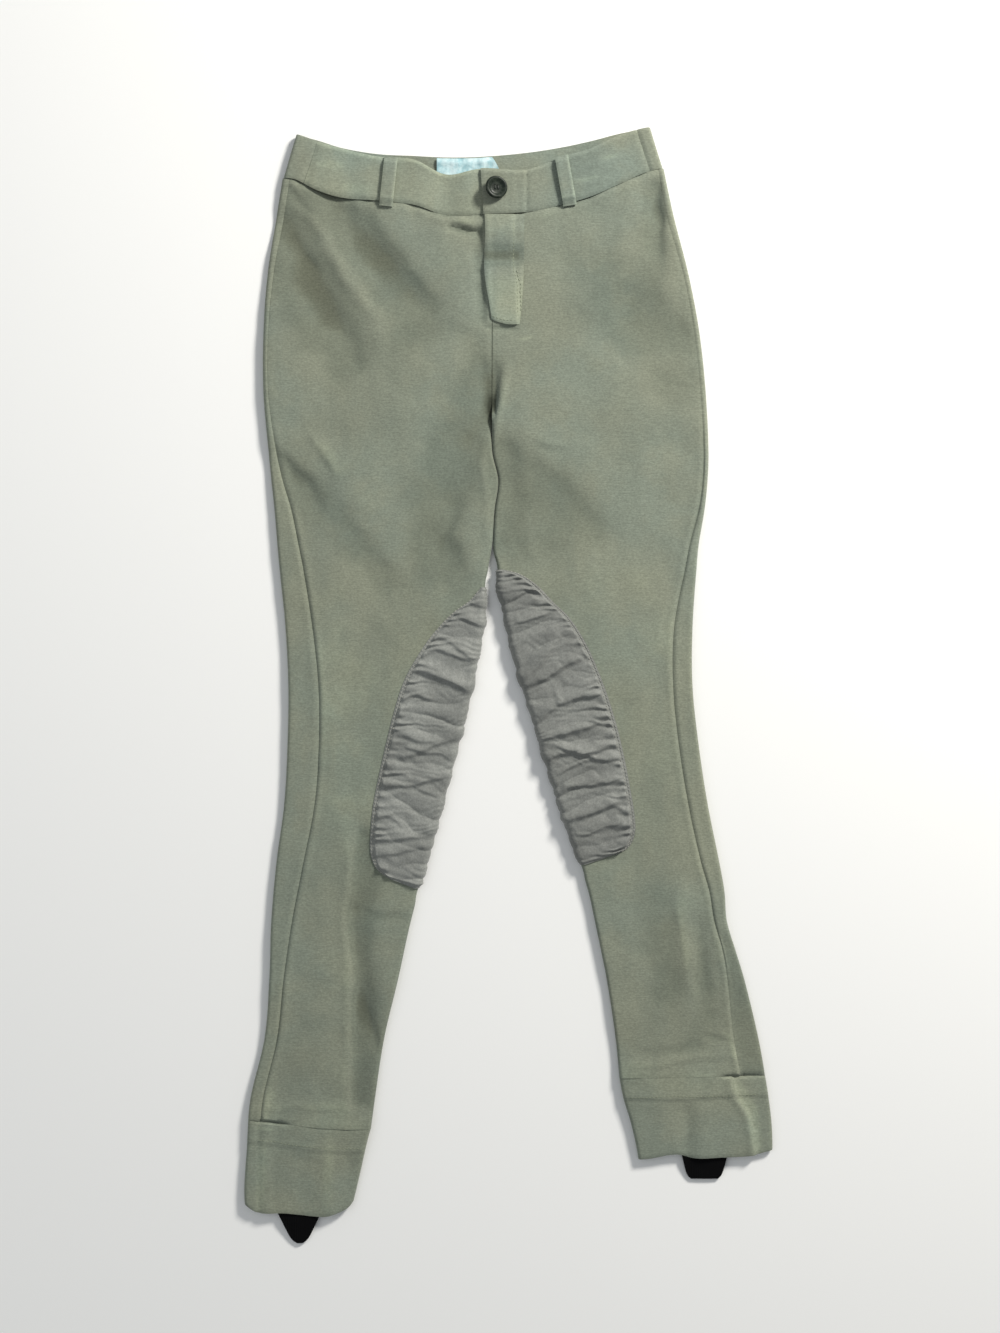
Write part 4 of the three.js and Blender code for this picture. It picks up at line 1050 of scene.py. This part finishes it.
class Nodes:
    """A short way to build a material's node tree."""

    def __init__(self, name):
        self.material = bpy.data.materials.new(name)
        self.material.use_nodes = True
        self.tree = self.material.node_tree
        place = self.add("ShaderNodeTexCoord").outputs
        self.space, self.cloth = place["Object"], place["UV"]

    def add(self, kind, inputs=None, **settings):
        node = self.tree.nodes.new(kind)
        for key, value in settings.items():
            setattr(node, key, value)
        for key, value in (inputs or {}).items():
            self.put(node.inputs[key], value)
        return node

    def put(self, socket, value):
        if isinstance(value, bpy.types.NodeSocket):
            self.tree.links.new(value, socket)
        else:
            socket.default_value = value

    def maths(self, operation, a, b=0.0):
        return self.add("ShaderNodeMath", {0: a, 1: b}, operation=operation).outputs[0]

    def noise(self, scale, detail=2.0, roughness=0.5, distortion=0.0, vector=None):
        inputs = {"Vector": vector or self.space, "Scale": scale, "Detail": detail, "Roughness": roughness,
                  "Distortion": distortion}
        return self.add("ShaderNodeTexNoise", inputs).outputs["Fac"]

    def stretched(self, vector, scale, detail=2.0, roughness=0.5):
        """Noise with a scale of its own along each axis of space or of the cloth."""
        return self.noise(1.0, detail, roughness, vector=self.scaled(vector, scale))

    def scaled(self, vector, scale):
        return self.add("ShaderNodeMapping", {"Vector": vector, "Scale": scale}).outputs[0]

    def ramp(self, value, low, high, out_low=0.0, out_high=1.0):
        inputs = {"Value": value, "From Min": low, "From Max": high, "To Min": out_low, "To Max": out_high}
        return self.add("ShaderNodeMapRange", inputs, interpolation_type="SMOOTHSTEP").outputs["Result"]

    def blend(self, factor, a, b, kind="MIX"):
        node = self.tree.nodes.new("ShaderNodeMix")
        node.data_type, node.blend_type = "RGBA", kind
        for key, value in ((0, factor), (6, a), (7, b)):
            self.put(node.inputs[key], value)
        return node.outputs[2]

    def tinted(self, tone, tint):
        """The tone times a tint of red, green and blue."""
        return self.blend(1.0, tone, (*tint, 1.0), "MULTIPLY")

    def flecked(self, tone, fleck, reach, dark, light):
        """The tone, darker and lighter where a noise lies more than reach from its middle."""
        shade = self.ramp(fleck, 0.5 - reach, 0.5 + reach)
        return self.blend(shade, self.tinted(tone, (dark,) * 3), self.tinted(tone, (light,) * 3))

    def bumped(self, height, distance, strength=1.0, under=None):
        inputs = {"Height": height, "Distance": distance, "Strength": strength}
        if under is not None:
            inputs["Normal"] = under
        return self.add("ShaderNodeBump", inputs).outputs[0]

    def surface(self, tone, roughness, normal=None, specular=0.5, sheen=0.0):
        """Sets the shader and gives back the material."""
        inputs = {"Base Color": tone, "Roughness": roughness, "Specular IOR Level": specular,
                  "Sheen Weight": sheen}
        if normal is not None:
            inputs["Normal"] = normal
        for key, value in inputs.items():
            self.put(self.tree.nodes["Principled BSDF"].inputs[key], value)
        return self.material


def with_alpha(colour, factor=1.0):
    """A colour as a socket takes it, made lighter or darker by the factor."""
    return (colour[0] * factor, colour[1] * factor, colour[2] * factor, 1.0)


def lighter_and_shaded_marks(points):
    """The cloth's lighter marks and its painted shade in deep folds; the lighter marks on crests and ridges
    are painted highlights.
    """
    return folded(LIGHTER_AND_SHADED_MARKS, points[:, :, 0], points[:, :, 1], 1, 1)


def band_marks_and_rim_highlight(points):
    """The waistband's marks, and a painted highlight along its upper edge, which is a little lighter."""
    return lighter_and_shaded_marks(points) + 0.55 * bump(FRONT_TOP(points[:, :, 0]) - points[:, :, 1] - 1.3, 1.4)


# Painted shade and highlight that follow a cloth's relief: darker in troughs, near black in the deepest
# slits, and lighter on raised cloth. Between which heights, how strongly at both, and the tint
PAINTED_SHADE_AND_HIGHLIGHT = (
    (-0.75, 0.05, (1, 0), (0.765, 0.785, 0.785)),
    (-2.0, -1.2, (1, 0), (0.72, 0.7, 0.66)),
    (-3.0, -1.7, (1, 0), (0.3, 0.3, 0.27)),
    (0.05, 0.8, (0, 1), (1.2, 1.21, 1.17)),
)


def cloth_material(name, main, other, grain, shine):
    """Brushed knit: uneven dye in soft clouds, fine grain across the leg, a little fuzz, and painted shade
    and highlight that follow its relief.
    """
    n = Nodes(name)
    cloud = n.noise(9.0, 2.0, 0.5)
    streak = n.stretched(n.space, (22, 7, 7), 3.0, 0.6)
    patchy = n.noise(24.0, 3.0, 0.55)
    tone = n.blend(n.ramp(cloud, 0.4, 0.62), with_alpha(main), with_alpha(other))
    tone = n.blend(n.ramp(patchy, 0.4, 0.66, 0, 0.7), tone, with_alpha(other, 1.04))
    tone = n.blend(n.ramp(streak, 0.42, 0.7, 0, 0.5), tone, with_alpha(main, 0.82))
    knit = n.stretched(n.cloth, (420, 1500, 1), 2.0, 0.65)
    weft = n.stretched(n.cloth, (120, 900, 1), 3.0, 0.6)
    speck = n.maths("ADD", n.maths("MULTIPLY", knit, 0.55), n.maths("MULTIPLY", weft, 0.45))
    tone = n.flecked(tone, n.noise(480.0, 2.0, 0.6), 0.14, 0.92, 1.07)
    tone = n.flecked(tone, speck, 0.14, 0.86, 1.1)
    # painted shade darkens the cloth in its troughs and slits, and painted highlight lightens it where it
    # stands up
    relief = n.add("ShaderNodeAttribute", attribute_name="relief").outputs["Fac"]
    for low, high, strengths, tint in PAINTED_SHADE_AND_HIGHLIGHT:
        tone = n.blend(n.ramp(relief, low, high, *strengths), tone, n.tinted(tone, tint))
    pile = n.noise(1900.0, 2.0, 0.7)
    return n.surface(tone, 0.92, n.bumped(pile, grain * 0.4, 0.6, n.bumped(speck, grain)), 0.2, shine)


def patch_material(name, shade):
    """Close-woven sueded cloth, a little glossier than the knit."""
    n = Nodes(name)
    tone = n.blend(n.ramp(n.noise(26.0, 3.0, 0.55), 0.35, 0.65), with_alpha(colours().patch, 0.9 * shade),
                   with_alpha(colours().patch, 1.12 * shade))
    weave = n.stretched(n.cloth, (1700, 900, 1), 2.0, 0.6)
    tone = n.flecked(tone, n.noise(560.0, 2.0, 0.6), 0.14, 0.9, 1.09)
    tone = n.flecked(tone, weave, 0.15, 0.9, 1.07)
    crumple = n.noise(210.0, 3.0, 0.6)
    return n.surface(tone, 0.62, n.bumped(weave, 0.00006, 1.0, n.bumped(crumple, 0.0005, 0.6)), 0.35, 0.25)


def elastic_material():
    """Black elastic with ribs along its length."""
    n = Nodes("ribbed_elastic")
    ribs = n.add("ShaderNodeTexWave", {"Vector": n.scaled(n.cloth, (1, 0.15, 1)), "Scale": 210.0,
                                       "Distortion": 0.6}, bands_direction="X").outputs["Fac"]
    lint = n.ramp(n.noise(900.0, 2.0, 0.7), 0.6, 0.8)
    tone = n.blend(lint, with_alpha(colours().elastic), with_alpha(colours().elastic, 2.6))
    return n.surface(tone, 0.85, n.bumped(ribs, 0.0002), 0.1)


def label_material():
    """Pale woven satin, creased by washing."""
    n = Nodes("label_satin")
    wash = n.noise(90.0, 3.0, 0.6)
    tone = n.blend(n.ramp(wash, 0.4, 0.65), with_alpha(colours().label), with_alpha(colours().washed_label))
    thread = n.stretched(n.cloth, (400, 4000, 1), 1.0)
    return n.surface(tone, 0.4, n.bumped(thread, 0.00004, 1.0, n.bumped(wash, 0.0012, 0.7)))


def button_material():
    """Polished dark plastic, with a faint swirl of green."""
    n = Nodes("button_plastic")
    swirl = n.ramp(n.noise(160.0, 3.0, 0.6, 2.2), 0.42, 0.7)
    tone = n.blend(swirl, with_alpha(colours().button), with_alpha(colours().button_swirl))
    scuffs = n.noise(700.0, 3.0, 0.7)
    return n.surface(tone, n.ramp(scuffs, 0.35, 0.7, 0.3, 0.5), n.bumped(scuffs, 0.00003), 0.16)


def thread_material(name):
    """Plied sewing thread in the colour of its own name."""
    n = Nodes(name)
    ply = n.noise(2600.0, 1.0)
    shade = getattr(colours(), name)
    tone = n.blend(ply, with_alpha(shade, 0.8), with_alpha(shade, 1.15))
    return n.surface(tone, 0.6, n.bumped(ply, 0.0001))


def floor_material():
    """A pale matt surface."""
    n = Nodes("floor")
    shade = colours().floor
    tone = n.blend(n.noise(60.0, 3.0, 0.6), with_alpha(shade, 0.995), with_alpha(shade))
    return n.surface(tone, 0.9, specular=0.1)


def shared(name, make):
    """A material that several pieces use, made once."""
    return bpy.data.materials.get(name) or make()


def thread(name):
    """The thread of that name."""
    return shared(name, lambda: thread_material(name))


def main_cloth():
    """The cloth of the legs and cuffs."""
    c = colours()
    return shared("jodhpur_cloth", lambda: cloth_material("jodhpur_cloth", c.cloth, c.faded, 0.00022, 0.25))


def band_cloth():
    """The same cloth on the waistband and placket, where it has kept a cooler shade."""
    c = colours()
    cooler = [value * tint for value, tint in zip(c.cloth, (1.0, 1.05, 1.1))]
    return shared("band_cloth", lambda: cloth_material("band_cloth", cooler, c.faded, 0.00018, 0.25))


# Stitching

def stitch_row(points, lift, pitch=None, thickness=None):
    """Stitches that stand off a line of points (millimetres): one stitch repeated, then bent to the line."""
    pitch = pitch or sizes().stitch
    thickness = thickness or sizes().thread
    points = [(x * MM, y * MM, (z + lift) * MM) for x, y, z in points]
    clear_selection()
    bpy.ops.curve.primitive_bezier_curve_add(location=(0, 0, 0))
    guide = bpy.context.object
    line = guide.data.splines[0]
    line.bezier_points.add(len(points) - 2)
    for knot, point in zip(line.bezier_points, points):
        knot.co = point
        knot.handle_left_type = knot.handle_right_type = "AUTO"
    guide.data.twist_mode = "Z_UP"
    clear_selection()
    bpy.ops.mesh.primitive_uv_sphere_add(segments=6, ring_count=4, radius=0.5, location=(0, 0, 0))
    row = bpy.context.object
    bpy.ops.transform.resize(value=(pitch * 0.74, thickness, thickness * 0.8))
    bpy.ops.transform.translate(value=(pitch * 0.5, 0, 0))
    settle()
    repeat = row.modifiers.new("repeat", "ARRAY")
    repeat.use_relative_offset = False
    repeat.use_constant_offset = True
    repeat.constant_offset_displace = (pitch, 0, 0)
    repeat.count = max(1, int(sum(map(math.dist, points, points[1:])) / pitch))
    bend = row.modifiers.new("bend", "CURVE")
    bend.object = guide
    bpy.ops.object.modifier_apply(modifier=repeat.name)
    bpy.ops.object.modifier_apply(modifier=bend.name)
    bpy.ops.object.shade_smooth()
    remove(guide)
    return row


def join(pieces, name):
    """Several pieces as one, under one name."""
    clear_selection()
    for piece in pieces:
        piece.select_set(True)
    bpy.context.view_layer.objects.active = pieces[0]
    bpy.ops.object.join()
    pieces[0].name = name
    return pieces[0]


def nearest(values, target):
    """Which of the values lies nearest to the target."""
    return int(np.abs(values - target).argmin())


def patch_stitches(leg):
    """Two rows of stitches along a patch's sewn edge."""
    points = patch_points(leg)[3:-3]
    some = np.linspace(0, len(points) - 1, 70).round().astype(int)
    return [stitch_row(points[some, column], 0.05, thickness=sizes().heavy_thread) for column in (2, 5)]


def placket_stitches():
    """A long row down the placket, one across its end, and a bar tack beside the lower part of the first."""
    placket = placket_points(rows=120, columns=60)
    east = stitch_east(placket[:, 0, 1])
    long = [placket[i, nearest(placket[i, :, 0], east[i])] for i in range(6, 117, 4)]
    tack_and_shadow = [placket[i, nearest(placket[i, :, 0], east[i] + 2.6)] for i in range(60, 112, 4)]
    return [stitch_row(long, 0.1), stitch_row(placket[115, 2:56:6], 0.1),
            stitch_row(tack_and_shadow, 0.15, 0.0036, sizes().heavy_thread)]


def cuff_stitches(leg):
    """A row of stitches across the top of a cuff, where its turned hem ends."""
    ring = cuff_points(leg, rows=60)
    line = [ring[nearest(ring[:, j, 1], leg.cuff_seam(abs(ring[0, j, 0])) - CUFF_STITCHES), j]
            for j in range(1, 46, 3)]
    return stitch_row(line, 0.1)


# The button: its profile from the foot round to the sunk middle, as shares of its radius and thickness
BUTTON_PROFILE = ((0.88, 0.12), (0.97, 0.36), (1.0, 0.6), (0.97, 0.82), (0.92, 0.95), (0.86, 1.0),
                  (0.78, 0.99), (0.7, 0.9), (0.62, 0.76), (0.54, 0.64), (0.44, 0.6))
BUTTON = dict(foot=0.72, hole=0.0009, spread=0.0019 / math.sqrt(2), lean=-16, place=(-10.7, 422.6, 10.6))


def button_disc(radius, thick):
    """The button's body, raised from a circle ring by ring, with four holes."""
    spot, level = radius * BUTTON["foot"], 0.0
    clear_selection()
    bpy.ops.mesh.primitive_circle_add(vertices=64, radius=spot, fill_type="NGON", location=(0, 0, 0))
    disc = bpy.context.object
    disc.name = "polished_button"
    bpy.ops.object.mode_set(mode="EDIT")
    bpy.ops.mesh.select_all(action="SELECT")
    for share, height in BUTTON_PROFILE:
        bpy.ops.mesh.extrude_region_move(TRANSFORM_OT_translate={"value": (0, 0, height * thick - level)})
        bpy.ops.transform.resize(value=(share * radius / spot,) * 3, center_override=(0, 0, height * thick),
                                 constraint_axis=(True, True, False))
        spot, level = share * radius, height * thick
    bpy.ops.object.mode_set(mode="OBJECT")
    run_in_edit(disc, lambda: bpy.ops.mesh.normals_make_consistent(inside=False))
    for a, b in ((1, 1), (1, -1), (-1, 1), (-1, -1)):
        drill_hole(disc, a * BUTTON["spread"], b * BUTTON["spread"])
    if len(disc.data.polygons) < 400:
        raise RuntimeError("the button's holes didn't cut")
    return disc


def drill_hole(disc, x, y):
    """Cuts one hole through the button."""
    clear_selection()
    bpy.ops.mesh.primitive_cylinder_add(vertices=20, radius=BUTTON["hole"], depth=0.02, location=(x, y, 0))
    drill = bpy.context.object
    bpy.context.view_layer.objects.active = disc
    cut = disc.modifiers.new("hole", "BOOLEAN")
    cut.operation, cut.object, cut.solver = "DIFFERENCE", drill, "EXACT"
    bpy.ops.object.modifier_apply(modifier=cut.name)
    remove(drill)


def button_thread(x, thick):
    """The thread between two of the holes."""
    clear_selection()
    middle = (x, 0, 0.6 * thick + 0.0003)
    bpy.ops.mesh.primitive_uv_sphere_add(segments=12, ring_count=8, radius=1, location=middle)
    bpy.ops.transform.resize(value=(0.00055, BUTTON["spread"] + 0.0005, 0.00045))
    settle()
    return bpy.context.object


# Operators, one for each kind of piece

class ADD_OT_fronts(bpy.types.Operator):
    """Add the two front panels"""
    bl_idname = "jodhpurs.add_fronts"
    bl_label = "Front panels"

    def execute(self, context):
        for leg in LEGS:
            points = front_points(leg)
            relief = stands(points) + lighter_and_shaded_marks(points)
            piece = grid_piece(f"cloth_front_{leg.name}", points, sizes().cloth, UP, relief=relief)
            finish_piece(piece, main_cloth(), f"front_{leg.name}")
        return {"FINISHED"}


class ADD_OT_backs(bpy.types.Operator):
    """Add the two back panels"""
    bl_idname = "jodhpurs.add_backs"
    bl_label = "Back panels"

    def execute(self, context):
        for leg in LEGS:
            points = back_points(leg)
            relief = np.zeros(points.shape[:2])
            if leg is RIGHT:  # painted shade on the strip that lies lower, below the notch of its side seam
                relief[:, :18] = -0.6 * (1 - ease(points[:, :18, 1], -230, -200))
            piece = grid_piece(f"cloth_back_{leg.name}", points, sizes().cloth, DOWN, relief=relief)
            finish_piece(piece, main_cloth(), f"back_{leg.name}")
        return {"FINISHED"}


class ADD_OT_patches(bpy.types.Operator):
    """Add the gathered knee patches"""
    bl_idname = "jodhpurs.add_patches"
    bl_label = "Knee patches"

    def execute(self, context):
        for leg, shade in ((LEFT, 1.1), (RIGHT, 0.9)):
            piece = grid_piece(f"patch_{leg.name}", patch_points(leg), sizes().patch, UP)
            name = f"patch_cloth_{leg.name}"
            material = shared(name, lambda: patch_material(name, shade))
            finish_piece(piece, material, f"knee_patch_{leg.name}")
        return {"FINISHED"}


class ADD_OT_waistband(bpy.types.Operator):
    """Add the three pieces of the waistband"""
    bl_idname = "jodhpurs.add_waistband"
    bl_label = "Waistband"

    def execute(self, context):
        left, right = left_band_points(), right_band_points()
        # the left band's colour is made lighter and the right's darker, with a painted highlight along their
        # upper edges
        for name, points, facing, relief, flat, area in (
            ("left", left, UP, band_marks_and_rim_highlight(left) + 0.4, (0.165, 0.042), 0.0062),
            ("right", right, UP, band_marks_and_rim_highlight(right) - 0.2, (0.145, 0.042), 0.0055),
            ("back", back_band_points(), DOWN, None, (0.36, 0.042), 0.0143),
        ):
            piece = grid_piece(f"band_{name}", points, sizes().doubled, facing, relief=relief)
            finish_piece(piece, band_cloth(), f"waistband_{name}")
        return {"FINISHED"}


class ADD_OT_cuffs(bpy.types.Operator):
    """Add the two cuffs"""
    bl_idname = "jodhpurs.add_cuffs"
    bl_label = "Cuffs"

    def execute(self, context):
        for leg, flat, area in ((LEFT, (0.205, 0.078), 0.0153), (RIGHT, (0.235, 0.069), 0.016)):
            points = cuff_points(leg)
            relief = lighter_and_shaded_marks(points)
            relief[:, 50:105] = 0  # the cuff's underside
            piece = grid_piece(f"cloth_cuff_{leg.name}", points, sizes().doubled, UP, True, 0.2, relief)
            finish_piece(piece, main_cloth(), f"cuff_{leg.name}")
        return {"FINISHED"}


class ADD_OT_straps(bpy.types.Operator):
    """Add the elastic foot straps"""
    bl_idname = "jodhpurs.add_straps"
    bl_label = "Foot straps"

    def execute(self, context):
        material = shared("ribbed_elastic", elastic_material)
        for name, strap in (("left", LEFT_STRAP), ("right", RIGHT_STRAP)):
            arms = [grid_piece("arm", strap_points(strap, side), sizes().elastic, UP) for side in (-1, 1)]
            piece = join(arms, f"strap_{name}")
            run_in_edit(piece, lambda: bpy.ops.mesh.remove_doubles(threshold=1e-5))
            finish_piece(piece, material, f"foot_strap_{name}")
        return {"FINISHED"}


class ADD_OT_placket(bpy.types.Operator):
    """Add the fly placket and the belt loops"""
    bl_idname = "jodhpurs.add_placket"
    bl_label = "Placket and belt loops"

    def execute(self, context):
        points = placket_points()
        x, y = points[:, :, 0], points[:, :, 1]
        # painted shade in the placket's cross trough and at its upper right, and lighter colour on its lower
        # part
        trough = bump(y - 366, 9) * (1 - ease(x, 6, 16))
        relief = 0.3 + 0.4 * ease(-y, -352, -338) - 2.3 * trough - 0.5 * ease(x, 5, 12) * bump(y - 385, 20)
        piece = grid_piece("placket", points, sizes().trim, UP, relief=relief)
        finish_piece(piece, band_cloth(), "fly_placket")
        for name, loop in (("left", LEFT_LOOP), ("right", RIGHT_LOOP)):
            points = loop_points(loop)
            down, across = grid(*points.shape[:2])
            # painted highlights along both edges of a loop, a light tack line, and a painted shadow just
            # below it at the lower end
            tack_and_shadow = 0.5 * bump(down - 0.8, 0.04) - 0.9 * bump(down - 0.87, 0.03)
            relief = 0.75 * ease(np.abs(2 * across - 1), 0.5, 0.95) - 0.15 + tack_and_shadow
            piece = grid_piece(f"loop_{name}", points, sizes().trim, UP, relief=relief)
            finish_piece(piece, band_cloth(), f"belt_loop_{name}")
        return {"FINISHED"}


class ADD_OT_label(bpy.types.Operator):
    """Add the satin label, left plain"""
    bl_idname = "jodhpurs.add_label"
    bl_label = "Label"

    def execute(self, context):
        piece = grid_piece("satin_label", label_points(), sizes().label, UP)
        finish_piece(piece, shared("label_satin", label_material), "label")
        return {"FINISHED"}


class ADD_OT_button(bpy.types.Operator):
    """Add the button with its thread"""
    bl_idname = "jodhpurs.add_button"
    bl_label = "Button"

    def execute(self, context):
        thick = sizes().button_thickness
        disc = button_disc(sizes().button, thick)
        threads = [button_thread(x, thick) for x in (-BUTTON["spread"], BUTTON["spread"])]
        for piece in (disc, *threads):
            pick(piece)
            bpy.ops.transform.rotate(value=math.radians(BUTTON["lean"]), orient_axis="Y",
                                     center_override=(0, 0, 0))
            bpy.ops.transform.translate(value=[value * MM for value in BUTTON["place"]])
            settle()
        smooth(disc, 50)
        finish_piece(disc, shared("button_plastic", button_material), "button")
        sewn = join(threads, "button_thread")
        smooth(sewn, 60)
        finish_piece(sewn, thread("dark_thread"))
        return {"FINISHED"}


class ADD_OT_stitching(bpy.types.Operator):
    """Add the rows of stitches"""
    bl_idname = "jodhpurs.add_stitching"
    bl_label = "Stitching"

    def execute(self, context):
        rows = [row for leg in LEGS for row in patch_stitches(leg)]
        finish_piece(join(rows, "patch_stitches"), thread("patch_thread"))
        rows = placket_stitches() + [cuff_stitches(leg) for leg in LEGS]
        finish_piece(join(rows, "cloth_stitches"), thread("cloth_thread"))
        return {"FINISHED"}


# The studio, in metres: each light's name, place, size, power and tint. Both face the garment's middle
LIGHTS = (
    ("key", (1.35, 1.55, 1.1), 0.42, 74, (1, 0.97, 0.9)),
    ("fill", (-1.7, 0.3, 2.1), 2.2, 10, (0.93, 0.975, 1)),
)
SKY = dict(colour=(0.95, 0.985, 1, 1), strength=0.34)
CAMERA = dict(place=(-0.0072, 0.0166, 1.58), lens=50)
FLOOR_LEVEL = -0.0004


class ADD_OT_studio(bpy.types.Operator):
    """Add the surface below the garment, the lights and the camera above it"""
    bl_idname = "jodhpurs.add_studio"
    bl_label = "Studio"

    def execute(self, context):
        clear_selection()
        bpy.ops.mesh.primitive_plane_add(size=9, location=(0, 0, FLOOR_LEVEL))
        floor = bpy.context.object
        floor.name = "floor"
        floor.data.materials.append(shared("floor", floor_material))
        for name, place, size, power, tint in LIGHTS:
            bpy.ops.object.light_add(type="AREA", location=place)
            light = bpy.context.object
            light.name = name
            light.data.size, light.data.energy, light.data.color = size, power, tint
            x, y, z = place
            light.rotation_euler = (math.atan2(math.hypot(x, y), z), 0, math.atan2(-x, y) + math.pi)
        world = bpy.data.worlds.new("studio") if not context.scene.world else context.scene.world
        context.scene.world = world
        world.use_nodes = True
        sky = world.node_tree.nodes["Background"].inputs
        sky["Color"].default_value = SKY["colour"]
        sky["Strength"].default_value = SKY["strength"]
        bpy.ops.object.camera_add(location=CAMERA["place"], rotation=(0, 0, 0))
        camera = bpy.context.object
        camera.data.lens = CAMERA["lens"]
        context.scene.camera = camera
        context.scene.view_settings.view_transform = "Standard"
        return {"FINISHED"}


OPERATORS = (ADD_OT_fronts, ADD_OT_backs, ADD_OT_patches, ADD_OT_waistband, ADD_OT_cuffs, ADD_OT_straps,
             ADD_OT_placket, ADD_OT_label, ADD_OT_button, ADD_OT_stitching, ADD_OT_studio)


class VIEW3D_PT_jodhpurs(bpy.types.Panel):
    """Sizes, colours and one button for each kind of piece"""
    bl_label = "Jodhpurs"
    bl_space_type = "VIEW_3D"
    bl_region_type = "UI"
    bl_category = "Jodhpurs"

    def draw(self, context):
        for group in (context.scene.jodhpur_sizes, context.scene.jodhpur_colours):
            for name in group.bl_rna.properties.keys():
                if name not in ("rna_type", "name"):
                    self.layout.prop(group, name)
        for operator in OPERATORS:
            self.layout.operator(operator.bl_idname)


CLASSES = (Sizes, Colours, *OPERATORS, VIEW3D_PT_jodhpurs)


def register():
    """Adds the classes, and the sizes and colours that they read."""
    for cls in CLASSES:
        bpy.utils.register_class(cls)
    bpy.types.Scene.jodhpur_sizes = bpy.props.PointerProperty(type=Sizes)
    bpy.types.Scene.jodhpur_colours = bpy.props.PointerProperty(type=Colours)


def unregister():
    """Takes them away again."""
    del bpy.types.Scene.jodhpur_sizes
    del bpy.types.Scene.jodhpur_colours
    for cls in reversed(CLASSES):
        bpy.utils.unregister_class(cls)


def main():
    """Builds every piece and the studio."""
    register()
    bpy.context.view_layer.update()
    for operator in OPERATORS:
        group, name = operator.bl_idname.split(".")
        if getattr(getattr(bpy.ops, group), name)() != {"FINISHED"}:
            raise RuntimeError(f"{operator.bl_label} didn't finish")
    clear_selection()
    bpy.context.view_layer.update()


if __name__ == "__main__":
    main()
